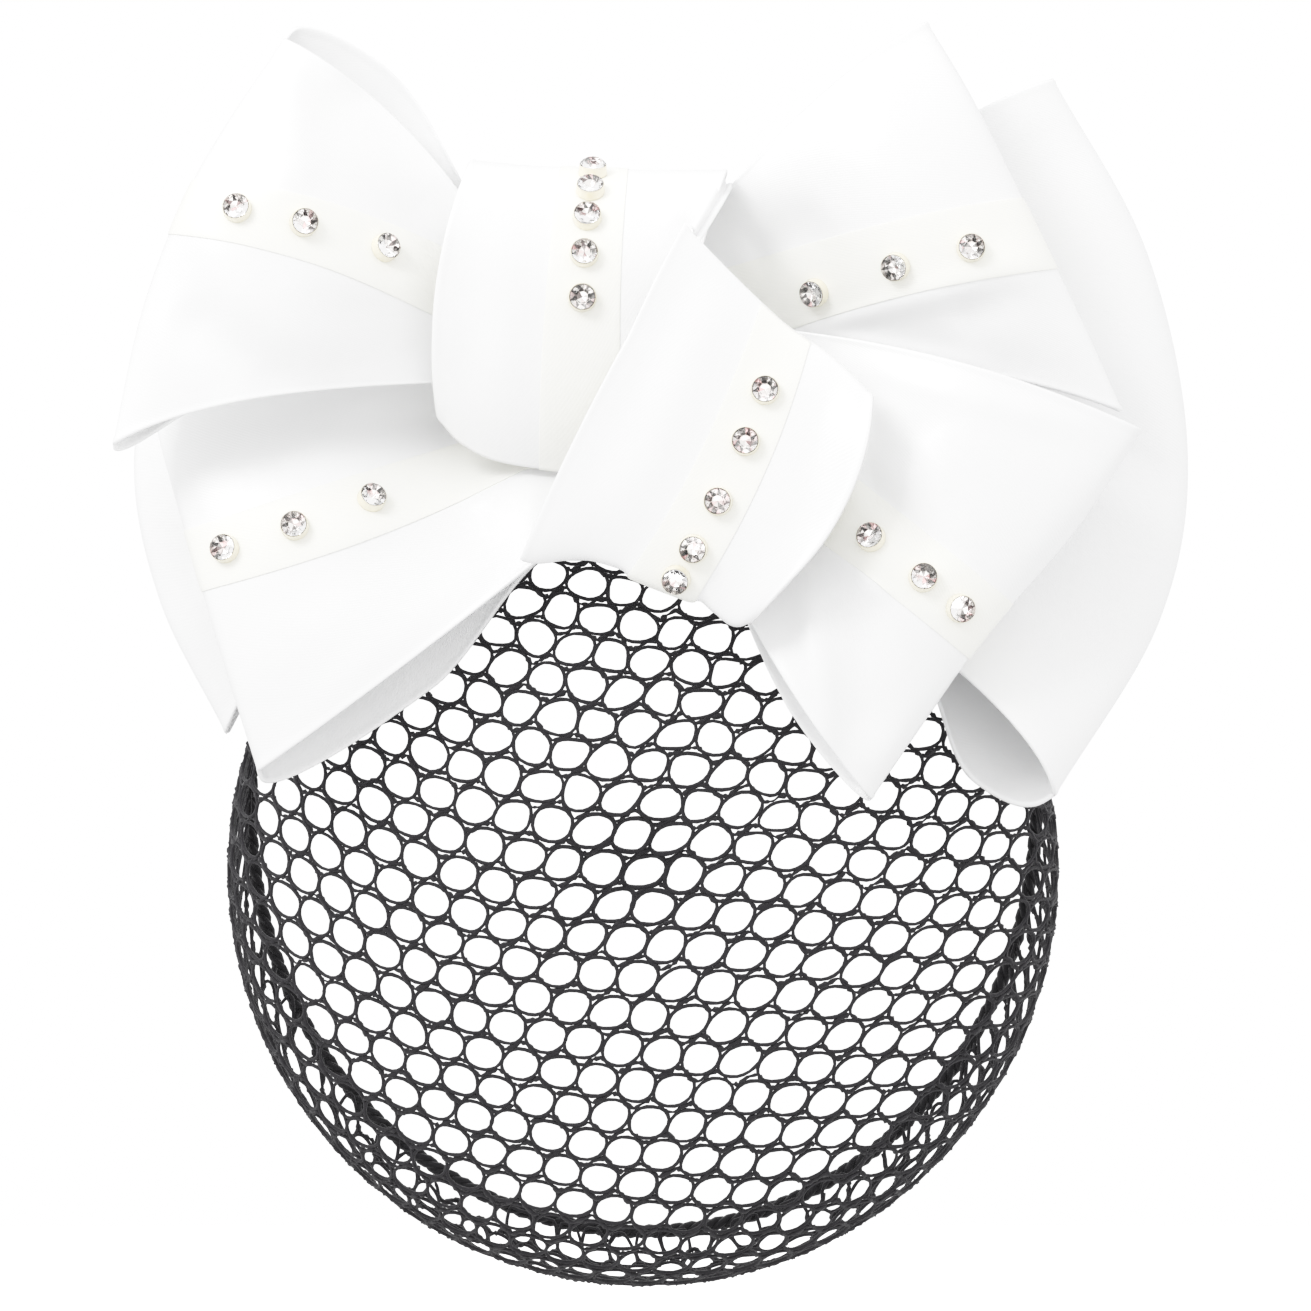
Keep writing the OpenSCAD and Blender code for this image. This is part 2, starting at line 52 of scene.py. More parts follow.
# Tables in mm, the same as the part's source but for one edge of three loops: upper left, lower left and back
# right. A loop has the x where its hidden tail begins, or None, and its rows from one edge to the other:
# knot x, knot z, middle x, middle z, fold x, fold z, knot depth, fold depth, puff, rear shift x, rear shift z
LOOPS = {
    "upper_left": (-1, [
        [-15.7, 8.8, -26.2, 25.3, -39.4, 32.1, 20.8, 17.5, 4.2, 1.9, 2.4],
        [-15.7, 5.5, -32.8, 19.6, -46.0, 22.0, 20.8, 21.5, 7.5, 1.0, 0.8],
        [-15.7, 2.8, -34.4, 12.7, -50.5, 13.5, 20.8, 24.5, 8.0, 0.0, 0.0],
        [-15.7, -1.6, -37.7, 1.3, -54.8, 1.6, 20.8, 27.0, 6.0, 0.0, 0.0],
        [-15.7, -5.7, -46.5, -6.0, -57.8, -12.7, 20.8, 29.5, 2.6, 0.0, 1.0]]),
    "lower_left": (-1, [
        [-15.7, -5.0, -37.7, -5.8, -54.5, -6.4, 13.9, 18.5, 3.0, 0.0, 0.0],
        [-14.6, -9.3, -37.7, -13.8, -52.0, -15.9, 13.9, 21.0, 4.6, 0.0, 0.0],
        [-13.5, -12.7, -34.4, -20.9, -49.2, -25.3, 16.0, 23.5, 5.6, 0.0, 0.0],
        [-12.4, -17.6, -30.0, -30.8, -45.9, -36.3, 22.5, 26.0, 5.2, 0.0, -1.0],
        [-11.3, -25.3, -25.6, -36.9, -42.0, -48.4, 26.5, 27.5, 3.8, 0.5, -4.4]]),
    "back_left": (-1, [
        [-13.5, 7.2, -37.7, 14.3, -45.4, 19.8, 7.0, 4.5, 4.0, 0.0, 0.0],
        [-13.5, 4.4, -39.9, 5.5, -53.1, 3.3, 7.0, 5.0, 4.5, 0.0, 0.0],
        [-13.5, 0.0, -38.8, -7.7, -56.3, -14.3, 7.0, 7.0, 5.5, 0.0, 0.0],
        [-13.5, -3.3, -37.7, -16.5, -53.4, -29.7, 7.5, 8.0, 5.0, 0.0, 0.0],
        [-13.5, -5.0, -36.6, -22.0, -46.1, -44.2, 7.5, 9.5, 4.5, 0.0, -1.5]]),
    "upper_right": (1, [
        [15.1, -4.4, 34.9, -2.2, 52.6, -8.9, 13.9, 19.5, 3.2, 0.0, 0.0],
        [12.9, -1.6, 31.6, 2.2, 48.6, 0.0, 13.9, 20.0, 4.6, 0.0, 0.0],
        [10.7, 1.1, 28.3, 8.2, 43.7, 10.1, 13.9, 20.0, 6.2, 0.0, 0.0],
        [7.9, 8.2, 22.8, 18.7, 36.5, 24.8, 13.9, 18.5, 6.2, 0.0, 0.0],
        [6.8, 12.7, 20.6, 28.6, 31.2, 34.1, 13.9, 14.5, 4.5, 0.0, 0.0]]),
    "lower_right": (None, [
        [8.5, -25.3, 14.5, -39.0, 24.8, -51.4, 26.9, 32.0, 3.4, -1.0, -1.0],
        [10.7, -20.9, 21.7, -31.9, 31.0, -42.4, 26.0, 31.5, 4.4, 0.0, 0.0],
        [12.9, -13.8, 25.2, -23.1, 37.6, -33.2, 24.2, 30.9, 5.0, 0.0, 0.0],
        [14.5, -6.6, 31.6, -12.1, 47.2, -22.0, 23.5, 30.0, 4.8, 0.0, 0.0],
        [15.1, 0.0, 34.9, -2.2, 54.5, -11.0, 23.5, 29.1, 3.4, 0.0, 0.0]]),
    "back_right": (None, [
        [23.9, -29.1, 43.7, -43.5, 45.1, -51.1, 21.2, 24.2, 4.2, -4.4, -3.2],
        [18.4, -11.0, 39.3, -26.4, 56.9, -31.9, 10.0, 13.5, 6.0, -0.5, -1.5],
        [15.1, -1.1, 40.4, -11.0, 60.2, -13.2, 7.5, 8.0, 5.8, 0.0, 0.0],
        [13.4, 4.4, 39.3, 6.6, 55.8, 8.8, 7.5, 6.0, 5.0, 0.0, 0.0],
        [12.9, 9.9, 37.1, 25.9, 45.4, 28.2, 7.5, 4.5, 4.0, 0.0, 0.0]]),
}
WRAP = [  # top x, top z, middle x, bottom x, bottom z
    [9.3, 17.6, 5.2, 5.2, -14.3], [1.9, 17.6, 0.8, 0.8, -15.9], [-5.4, 17.8, -6.7, -5.8, -15.9],
    [-12.4, 18.1, -14.6, -16.3, -14.5], [-19.0, 18.7, -22.8, -22.3, -11.0]]
CROSS = [  # top x, z, middle x, z, bottom x, z, top depth, bottom depth
    [5.2, 9.9, -4.7, -4.4, -13.3, -25.3, 32.9, 34.5], [10.4, 5.0, 3.3, -10.3, -5.3, -26.0, 33.2, 34.7],
    [15.6, 0.2, 11.2, -15.4, 2.8, -28.8, 33.5, 34.9], [20.6, -3.3, 17.8, -17.9, 7.6, -30.8, 34.6, 35.5],
    [25.0, -7.7, 25.0, -19.8, 12.0, -32.8, 37.0, 36.9]]
TRIMS = {  # first and last angle of the trim, the stones' angles. On a loop a trim begins under the knot
    "upper_left": (42, 216, [134, 111, 88]), "lower_left": (42, 216, [144, 116, 94]),
    "upper_right": (34, 216, [78, 102, 127]), "lower_right": (32, 216, [89, 115, 138]),
    "wrap": (-54, 114, [68, 52, 36, 20, 5]), "cross": (10, 180, [58, 81, 107, 131, 153])}

# How the ribbons turn. An exponent under 1 makes a section squarer than an ellipse
WRAP_SQUARE, LOOP_SQUARE = 0.8, 0.65
WRAP_LOW = 1.17  # the upright band reaches this many times as far below its middle as above it
WRAP_CORNER = 1.4  # its lower left corner is rounded up by this
CORNER_SHARE = 0.1  # of a band's width, which a rounded corner takes
TAIL_SHARE = 0.2  # the share of a loop's way to its fold that lies under the knot
DEPTH_SHARE, PUFF_SHARE = 0.6, 0.8  # the share of that way after which a loop has its full depth, and puff
REAR = (0.65, 1.5, 1.0)  # the rear panel's shift: its exponent, how fast it grows, its factor in z
REAR_OF = {"upper_left": (0.5, 1.5, 1.45), "lower_left": (0.65, 2.4, 1.0)}
REAR_TIP_DROP = 3.4  # the upper left loop's rear tip hangs this much lower
REAR_BULGE, REAR_BOW = 2.2, 6.4  # the back right loop's lower edge opens: rearwards, and down to the left
CROSS_TIP_OUT, CROSS_TIP_UP = 0.8, 1.3  # the crossing band's top left corner is drawn out to a point
# Its lower edge starts this much lower on the left, rises by this up to the trim, and steps down there by
# this between these two shares across
LEFT_SINK, LEFT_RISE, STEP, STEP_BEGINS, STEP_ENDS = 0.35, 0.95, 0.6, 0.335, 0.372
LEFT_CORNER, RIGHT_CORNER = 0.55, 1.1  # how far that edge's corners are rounded up
CROSS_WAVES = ((0.5, 0.68, 0.05), (-0.7, 0.86, 0.08))  # that edge's waves: height, share across, width
CROSS_FRONT, CROSS_REAR = 1.15, 0.85  # the band's front and rear panel, as factors of CROSS_HALF
LOW_PART = 0.55  # the share of a ribbon's way after which the shapes of its far end set in

# Folds of the satin: ribbon, from, to in the front plane (mm), height, width at either end
FOLDS = {
    "upper_left": [
        ((-51, 16), (-41, -2), 0.55, 3.5, 3.0), ((-17, 6), (-40, 21), -0.7, 5, 6),
        ((-17, 4), (-38, 6), 0.45, 2.2, 3.0), ((-24, 24), (-36, 33), 0.5, 1.6, 1.6),
        ((-17, -4), (-46, -9), 0.35, 2.5, 2.0), ((-39.8, 32), (-38, 13), 1.5, 2.6, 3.4),
        ((-31, 29), (-21, 10), -1.7, 6.5, 6.5), ((-50, 2), (-38, -8), -0.9, 3, 3),
        ((-20.5, -1), (-20, -12), -0.5, 1.4, 1.6)],
    "lower_left": [
        ((-18, -19.5), (-13.6, -15.5), 0.5, 0.8, 1.6), ((-16, -22), (-40, -30), -0.55, 4, 5),
        ((-15, -16), (-36, -24), 0.4, 2.4, 2.6), ((-16, -25), (-38, -43), 0.3, 2.5, 2.5),
        ((-17, -9), (-48, -11), -0.4, 2.5, 2.5)],
    "back_left": [((-15, -6), (-44, -30), 0.5, 4, 4), ((-20, 5), (-50, 2), 0.4, 4, 4)],
    "upper_right": [
        ((19, 0.3), (45, 7.5), 0.75, 0.9, 2.6), ((19, -0.4), (37, -4.2), 0.55, 0.7, 1.4),
        ((19, -0.4), (52, -9), 0.5, 1.6, 1.8), ((12, 8), (20, 12.5), -0.9, 2.6, 3.2),
        ((34, 1), (42, 5), -0.5, 3.0, 2.4), ((10, 14), (28, 30), 0.5, 3.0, 4.0)],
    "lower_right": [
        ((25.8, -9), (24.2, -18), -0.9, 1.7, 1.5), ((24.5, -17), (33, -26), -0.9, 1.8, 2.6),
        ((28.5, -10), (33, -22), -0.5, 3.4, 3.4), ((23, -4), (50, -11.5), 0.35, 2.0, 1.4),
        ((19, -20), (36, -36), 0.3, 3.0, 3.0), ((19.5, -24.9), (27, -29.4), 0.5, 0.5, 0.8),
        ((17.6, -28.5), (20.6, -47.4), 1.0, 1.6, 2.0), ((23, -29), (24.5, -46), -1.1, 2.8, 3.0)],
    "back_right": [
        ((27, -30), (47, -45), 0.6, 3.5, 3.5), ((30, 0), (58, -6), 0.5, 5, 5),
        ((26, 12), (50, 22), -0.5, 5, 5)],
    "wrap": [
        ((-1.5, 17.5), (5.5, 10.5), 0.45, 0.7, 1.3), ((4, 17.5), (7.5, 13), -0.5, 1.4, 1.0),
        ((-20, 10), (-19, -8), -0.3, 2.2, 2.6), ((-14, 17), (-15.5, -8), 0.25, 3.0, 2.0),
        ((6, 14), (1, -2), -0.35, 1.6, 2.4)],
    "cross": [
        ((6.5, 8), (-8, -22), -0.35, 2.6, 3.0), ((8, 4), (-2, -22), 0.3, 3.5, 3.0),
        ((20, -6), (17, -26), -0.3, 2.6, 2.2)],
}
REAR_WAVE, SOFT_WAVE = 0.25, 0.10  # unevenness of the rear panels, and of all of the cloth
PAST_END, FADE_IN, FADE_OUT = 0.12, 0.3, 0.4  # a fold's soft ends, as shares of its length
FRONT_GAIN, TURN_FADE = 1.6, 0.2  # how soon a panel is all front, and the sine under which folds fade

# The cloth's sizes in mm, which only the scene has. A bead is a rolled selvage, and stands proud that much
RIBBON_THICK, RIBBON_BEAD = 0.36, 0.10
NECK_THICK, NECK_BEAD = 0.32, 0.08
TRIM_THICK, TRIM_BEAD = 0.10, 0.012
TRIM_MOST = 0.3  # half of a trim is never wider than this share of its ribbon
TRIM_GAP, TRIM_CROWN = 0.055, 0.075  # from the ribbon's face to the trim's middle surface; its rise inwards
BEAD_IN, BEAD_WIDE = 0.35, 0.28  # the bead's middle in from the edge, and its width
CUP_LIFT = 0.34  # from a ribbon's middle surface to the cups' seats


# Curves
def across(rows, v):
    """A smooth curve through a table's rows, at shares v of the way across"""
    rows = np.array(rows, float)
    n = len(rows) - 1
    p = np.clip(v, 0, 1) * n
    i = np.minimum(p.astype(int), n - 1)
    f = (p - i)[:, None]
    pad = np.vstack([2 * rows[0] - rows[1], rows, 2 * rows[-1] - rows[-2]])
    a, b, c, d = pad[i], pad[i + 1], pad[i + 2], pad[i + 3]
    square, cube = 2 * a - 5 * b + 4 * c - d, 3 * b - a - 3 * c + d
    return 0.5 * (2 * b + (c - a) * f + square * f * f + cube * f ** 3)


def ease(t):
    """From 0 to 1 with a soft start and end"""
    t = np.clip(t, 0, 1)
    return t * t * (3 - 2 * t)


def rounded(s, p):
    """A sine or cosine made squarer by an exponent under 1"""
    return np.sign(s) * np.abs(s) ** p


def bend(a, b, c, t):
    """A curve from a to c that is drawn towards b"""
    return a * (1 - t) ** 2 + 2 * b * t * (1 - t) + c * t * t


def bell(x, middle, width):
    """From 1 at the middle softly down to 0"""
    return np.exp(-((x - middle) / width) ** 2)


def near_start(v, share):
    """From 1 at the start down to 0 at a share"""
    return np.clip(1 - v / share, 0, 1)


def near_end(v, share):
    """0, then up to 1 over the last share"""
    return np.clip((v - (1 - share)) / share, 0, 1)


def unit(v):
    """Vectors of length 1"""
    return v / np.maximum(np.linalg.norm(v, axis=-1, keepdims=True), 1e-9)


def lengths(points, axis=0):
    """The lengths of the steps between neighbouring points"""
    return np.linalg.norm(np.diff(points, axis=axis), axis=-1)


# Middle surfaces of the ribbons, in mm, for the sine and cosine of angles round a ribbon and shares v across
# it. s is the share of the way from the knot, or from the top, to where the ribbon turns back
def wrap_point(sn, cs, v):
    """The upright band goes round the middle of the bow"""
    top_x, top_z, mid_x, low_x, low_z = across(WRAP, v).T
    mid, half = (top_z + low_z) / 2, (top_z - low_z) / 2
    z = mid + half * rounded(sn, WRAP_SQUARE) * np.where(sn < 0, WRAP_LOW, 1.0)
    z = z + WRAP_CORNER * near_end(v, CORNER_SHARE) ** 2 * ease(-sn * 1.5)
    fall = (top_z - z) / (top_z - low_z)
    x = bend(top_x, 2 * mid_x - (top_x + low_x) / 2, low_x, fall)
    y = -CLIP_DEPTH - (WRAP_FRONT + WRAP_BACK) / 2 - (WRAP_FRONT - WRAP_BACK) / 2 * rounded(cs, WRAP_SQUARE)
    return x, y, z


def cross_point(sn, s, v):
    """The crossing band is a flat sleeve that leans over the knot's front"""
    top_x, top_z, mid_x, mid_z, low_x, low_z, top_y, low_y = across(CROSS, v).T
    x, z = bend(top_x, mid_x, low_x, s), bend(top_z, mid_z, low_z, s)
    tip = near_start(v, 0.3) ** 1.5 * near_start(s, 0.35)
    x, z = x - CROSS_TIP_OUT * tip, z + CROSS_TIP_UP * tip
    # the left part turns under a little higher, with a rounded corner, and steps down where the trim begins
    left = LEFT_RISE * ease(v / 0.25) - LEFT_SINK
    step = np.where(v < STEP_BEGINS, left, STEP * ease((STEP_ENDS - v) / (STEP_ENDS - STEP_BEGINS)))
    ends = LEFT_CORNER * near_start(v, 0.06) ** 2 + RIGHT_CORNER * near_end(v, CORNER_SHARE) ** 2
    waves = sum(height * bell(v, middle, width) for height, middle, width in CROSS_WAVES)
    low = ease((s - LOW_PART) / (1 - LOW_PART))
    z = z + low * step + low * ends + low * waves
    half = CROSS_HALF * np.where(sn > 0, CROSS_FRONT, CROSS_REAR)
    square = 0.7 + 0.28 * low + 0.2 * ease((0.4 - s) / 0.4)
    y = -CLIP_DEPTH - (top_y + (low_y - top_y) * s) - half * rounded(sn, square)
    return x, y, z


def loop_point(name, sn, s, v):
    """A loop leaves the knot, turns back at its fold and returns behind itself"""
    tail, rows = LOOPS[name]
    knot_x, knot_z, mid_x, mid_z, fold_x, fold_z, knot_y, fold_y, puff, rear_x, rear_z = across(rows, v).T
    hid = 0.0 if tail is None else TAIL_SHARE
    t = np.maximum((s - hid) / (1 - hid), 0)
    x, z = bend(knot_x, mid_x, fold_x, t), bend(knot_z, mid_z, fold_z, t)
    if tail is not None:
        x = np.where(s < hid, tail + (knot_x - tail) * s / hid, x)
        z = np.where(s < hid, knot_z, z)
    depth = knot_y + (fold_y - knot_y) * ease(t / DEPTH_SHARE)
    half = KNOT_HALF + (puff - KNOT_HALF) * ease(t / PUFF_SHARE)
    square, soon, factor = REAR_OF.get(name, REAR)
    rear = np.maximum(-sn, 0) ** square * ease(t * soon)
    x, z = x + rear_x * rear, z + rear_z * rear * factor
    if name == "upper_left":
        z = z - REAR_TIP_DROP * rear * ease((t - LOW_PART) / (1 - LOW_PART)) * v ** 6
    if name == "back_right":
        bulge = rear * (1 - v) ** 3
        depth = depth + REAR_BULGE * bulge
        bow = REAR_BOW * t * (1 - t) * bulge
        x, z = x - bow, z - bow
    y = -CLIP_DEPTH - depth - half * rounded(sn, LOOP_SQUARE)
    return x, y, z


def ribbon_point(name, a, v):
    """Points of a ribbon's middle surface for arrays of angles a and shares v"""
    a, v = np.broadcast_arrays(np.asarray(a, float), np.asarray(v, float))
    shape, a, v = a.shape, a.ravel(), v.ravel()
    sn, cs = np.sin(np.radians(a)), np.cos(np.radians(a))
    s = (1 - cs) / 2
    if name == "wrap":
        point = wrap_point(sn, cs, v)
    elif name == "cross":
        point = cross_point(sn, s, v)
    else:
        point = loop_point(name, sn, s, v)
    return np.stack(point, -1).reshape(shape + (3,))


def seg(p, a, b):
    """Share along the segment a-b and distance from its line, for points p in the front plane"""
    a, b = np.array(a, float), np.array(b, float)
    d = b - a
    t = ((p - a) @ d) / (d @ d)
    side = ((p - a) @ np.array([-d[1], d[0]])) / np.linalg.norm(d)
    return t, side


def folded(name, a, v):
    """The middle surface with its folds, and its outward normals"""
    a, v = np.asarray(a, float), np.asarray(v, float)
    da, dv = 0.6, 0.006

    def place(a, v):
        p = ribbon_point(name, a, v)
        x, z = p[..., 0], p[..., 2]
        sn, cs = np.sin(np.radians(a)), np.cos(np.radians(a))
        front = ease((cs if name == "wrap" else sn) * FRONT_GAIN)
        h = np.zeros(p.shape[:-1])
        for start, end, height, wide, spread in FOLDS[name]:
            t, d = seg(p[..., [0, 2]], start, end)
            reach = wide + (spread - wide) * np.clip(t, 0, 1)
            ends = ease((t + PAST_END) / FADE_IN), ease((1 + PAST_END - t) / FADE_OUT)
            h += height * np.exp(-(d / reach) ** 2) * ends[0] * ends[1]
        h *= front
        h += REAR_WAVE * (1 - front) * np.sin(x * 0.21 + z * 0.13 + len(name))
        h += SOFT_WAVE * np.sin(x * 0.37 + 1.7 * np.sin(z * 0.11) + len(name)) * np.sin(z * 0.29 + 0.8)
        # folds stand out from either panel, and fade where the ribbon turns
        p[..., 1] -= h if name == "wrap" else h * np.clip(sn / TURN_FADE, -1, 1)
        return p

    round_it = place(a + da, v) - place(a - da, v)
    over_it = place(a, np.clip(v + dv, 0, 1)) - place(a, np.clip(v - dv, 0, 1))
    return place(a, v), unit(np.cross(round_it, over_it))


# Mesh helpers
def add_mesh(name, points, faces, mat, uv=None, smooth=True):
    """A mesh object from points in mm and faces: an array with a row for each face, or a list of them"""
    me = bpy.data.meshes.new(name)
    points = np.asarray(points, float) * MM
    blocks = faces if isinstance(faces, list) else [faces]
    blocks = [np.asarray(b, np.int64) for b in blocks if len(b)]
    loops = np.concatenate([b.ravel() for b in blocks])
    sizes = np.concatenate([np.full(len(b), b.shape[1]) for b in blocks])
    me.vertices.add(len(points))
    me.vertices.foreach_set("co", points.astype(np.float32).ravel())
    me.loops.add(len(loops))
    me.loops.foreach_set("vertex_index", loops.astype(np.int32))
    me.polygons.add(len(sizes))
    me.polygons.foreach_set("loop_start", np.concatenate([[0], np.cumsum(sizes)[:-1]]).astype(np.int32))
    me.polygons.foreach_set("loop_total", sizes.astype(np.int32))
    me.update(calc_edges=True)
    if uv is not None:
        layer = me.uv_layers.new(name="UVMap")
        layer.data.foreach_set("uv", (np.asarray(uv, float)[loops] * MM).astype(np.float32).ravel())
    me.validate()
    me.polygons.foreach_set("use_smooth", np.full(len(me.polygons), smooth))
    me.materials.append(mat)
    ob = bpy.data.objects.new(name, me)
    scene.collection.objects.link(ob)
    return ob


def sheet_faces(na, nv, ring):
    """Faces of a grid of na by nv points, closed to a ring or open"""
    I, K = np.meshgrid(np.arange(na if ring else na - 1), np.arange(nv - 1), indexing="ij")
    a, b = I * nv + K, ((I + 1) % na) * nv + K
    return np.stack([a + 1, b + 1, b, a], -1).reshape(-1, 4)


def cloth(name, mid, nrm, mat, thick, bead, uv_at, ring=False):
    """A double-faced sheet from a grid of points: two faces and a rim, with rolled selvages"""
    na, nv = mid.shape[:2]
    n, last = na * nv, nv - 1
    over = np.r_[0, np.cumsum(lengths(mid[na // 2]))]
    along = np.r_[0, np.cumsum(lengths(mid[:, nv // 2]))]
    from_edge = np.minimum(over, over[-1] - over)
    half = (thick / 2 + bead * bell(from_edge, BEAD_IN, BEAD_WIDE))[None, :, None]
    points = np.concatenate([(mid + nrm * half).reshape(-1, 3), (mid - nrm * half).reshape(-1, 3)])
    uv = np.broadcast_arrays(along[:, None] + uv_at[0], over[None, :] - over[-1] / 2 + uv_at[1])
    uv = np.stack(uv, -1).reshape(-1, 2)
    front = sheet_faces(na, nv, ring)
    i = np.arange(na if ring else na - 1) * nv
    j = (i + nv) % n
    faces = [front, front[:, ::-1] + n, np.stack([i, j, j + n, i + n], -1),
             np.stack([i + last + n, j + last + n, j + last, i + last], -1)]
    if not ring:
        k = np.arange(last)
        e = k + n - nv
        faces += [np.stack([k + n, k + 1 + n, k + 1, k], -1), np.stack([e, e + 1, e + 1 + n, e + n], -1)]
    return add_mesh(name, points, np.concatenate(faces), mat, np.concatenate([uv, uv]))


def tubes(lines, radius, sides, closed=False, turn=0.0):
    """Points and faces of tubes along polylines, an array (count, points, 3) in mm; radius may be an array"""
    lines = np.asarray(lines, float)
    c, n = lines.shape[:2]
    if closed:
        tan = unit(np.roll(lines, -1, 1) - np.roll(lines, 1, 1))
    else:
        tan = unit(np.gradient(lines, axis=1))
    side = unit(np.cross(tan, np.array([0.13, -1.0, 0.21])))
    up = np.cross(side, tan)
    ang = (np.linspace(0, 2 * np.pi, sides, endpoint=False) + turn)[:, None]
    r = np.broadcast_to(np.asarray(radius, float), (c, n))[..., None, None]
    points = lines[:, :, None] + r * (np.cos(ang) * side[:, :, None] + np.sin(ang) * up[:, :, None])
    i, k, q = np.meshgrid(np.arange(c), np.arange(n if closed else n - 1), np.arange(sides), indexing="ij")
    here, there = (i * n + k) * sides, (i * n + (k + 1) % n) * sides
    q2 = (q + 1) % sides
    faces = np.stack([here + q, here + q2, there + q2, there + q], -1).reshape(-1, 4)
    return points.reshape(-1, 3), faces


def join(parts):
    """The points and faces of several forms as one form"""
    points, faces, at = [], [], 0
    for p, f in parts:
        points.append(p)
        faces.append(f + at)
        at += len(p)
    return np.concatenate(points), faces


# Material helpers
def plug(tree, item, inputs):
    """Fills a node's inputs: another node's output is linked, anything else is a value"""
    for key, value in inputs.items():
        if isinstance(value, bpy.types.NodeSocket):
            tree.links.new(value, item.inputs[key])
        else:
            item.inputs[key].default_value = value


def node(tree, kind, inputs, **settings):
    """Adds a node and returns its outputs"""
    item = tree.nodes.new(kind)
    for key, value in settings.items():
        setattr(item, key, value)
    plug(tree, item, inputs)
    return item.outputs


def noise(tree, scale, detail=2, rough=0.5, at=None, **settings):
    """Noise over the object's own coordinates, or over those given"""
    if at is None:
        at = node(tree, "ShaderNodeTexCoord", {})["Object"]
    inputs = {"Vector": at, "Scale": scale, "Detail": detail, "Roughness": rough}
    return node(tree, "ShaderNodeTexNoise", inputs, **settings)[0]


def blend(tree, factor, low, high):
    """A colour between two"""
    return node(tree, "ShaderNodeMix", {0: factor, 6: (*low, 1), 7: (*high, 1)}, data_type="RGBA")[2]


def spread(tree, value, low, high):
    """A value from 0 to 1 spread between two limits"""
    return node(tree, "ShaderNodeMapRange", {"Value": value, "To Min": low, "To Max": high})[0]


def bump(tree, height, strength, distance, **more):
    """A surface's normals, tilted by a height"""
    inputs = {"Height": height, "Strength": strength, "Distance": distance, **more}
    return node(tree, "ShaderNodeBump", inputs)[0]


def times_plus(tree, value, factor, plus, **settings):
    """A value times a factor, plus another value"""
    inputs = {0: value, 1: factor, 2: plus}
    return node(tree, "ShaderNodeMath", inputs, operation="MULTIPLY_ADD", **settings)[0]


def new_mat(name):
    """A new material and its nodes"""
    mat = bpy.data.materials.new(name)
    mat.use_nodes = True
    return mat, mat.node_tree


def surface(mat, inputs):
    """Fills the inputs of a material's own shader"""
    plug(mat.node_tree, mat.node_tree.nodes["Principled BSDF"], inputs)
    return mat


# Materials
def satin_mat(name, light, dark, grain=1.0, rough=0.30):
    """Satin: a fine diagonal weave with slubs, and a soft sheen. UVs are in metres"""
    mat, tree = new_mat(name)
    uv = node(tree, "ShaderNodeUVMap", {}, uv_map="UVMap")[0]
    lean = node(tree, "ShaderNodeMapping", {"Vector": uv, "Rotation": (0, 0, math.radians(28))})[0]
    floats = node(tree, "ShaderNodeTexWave",
                  {"Vector": lean, "Scale": 950, "Distortion": 1.2, "Detail": 2, "Detail Scale": 3},
                  wave_type="BANDS", bands_direction="Y", wave_profile="SIN")["Fac"]
    # slubs are long along the ribbon and fine across it
    drawn = node(tree, "ShaderNodeMapping", {"Vector": uv, "Scale": (260, 3200, 1)})[0]
    slub = noise(tree, 1, 3, at=drawn, noise_dimensions="2D")
    weave = times_plus(tree, slub, 0.7, floats)
    cloud = noise(tree, 90, 3)
    fine = bump(tree, weave, 0.11 * grain, 0.00006)
    tone = times_plus(tree, slub, 0.5, 0.4, use_clamp=True)
    return surface(mat, {
        "Base Color": blend(tree, tone, dark, light),
        "Roughness": spread(tree, cloud, rough - 0.05, rough + 0.07),
        "Normal": bump(tree, cloud, 0.35, 0.0006, Normal=fine),
        "Specular IOR Level": 0.55, "Anisotropic": 0.45, "Sheen Weight": 0.12, "Sheen Roughness": 0.35})


def yarn_mat(name, base, high):
    """Knitting yarn: dark and matt, with fibre"""
    mat, tree = new_mat(name)
    fibre = noise(tree, 2600, 4, 0.7)
    return surface(mat, {
        "Base Color": blend(tree, fibre, base, high), "Roughness": 0.78,
        "Normal": bump(tree, fibre, 0.9, 0.00012), "Sheen Weight": 0.22, "Sheen Roughness": 0.5})


def crystal_mat():
    """Cut glass, almost clear"""
    mat, tree = new_mat("cut_crystal")
    return surface(mat, {
        "Base Color": (1.0, 0.99, 0.985, 1), "Roughness": spread(tree, noise(tree, 900), 0.0, 0.04),
        "IOR": 1.38, "Transmission Weight": 1.0, "Specular IOR Level": 0.6})


def foil_mat():
    """The mirror under a stone, with painted reflections: each facet's painted tone comes from its mesh"""
    mat, tree = new_mat("foil_painted_reflections")
    return surface(mat, {
        # the foil's colour is painted reflection, one tone for each facet
        "Base Color": node(tree, "ShaderNodeVertexColor", {}, layer_name="painted_reflection")[0], "Metallic": 0.85,
        "Roughness": spread(tree, noise(tree, 1500), 0.12, 0.26)})


def cup_mat():
    """The settings' pale cream metal"""
    mat, tree = new_mat("setting_cup")
    return surface(mat, {
        "Base Color": blend(tree, noise(tree, 700), (0.93, 0.86, 0.68), (0.97, 0.935, 0.82)),
        "Roughness": 0.3, "Metallic": 0.25, "Coat Weight": 0.4})


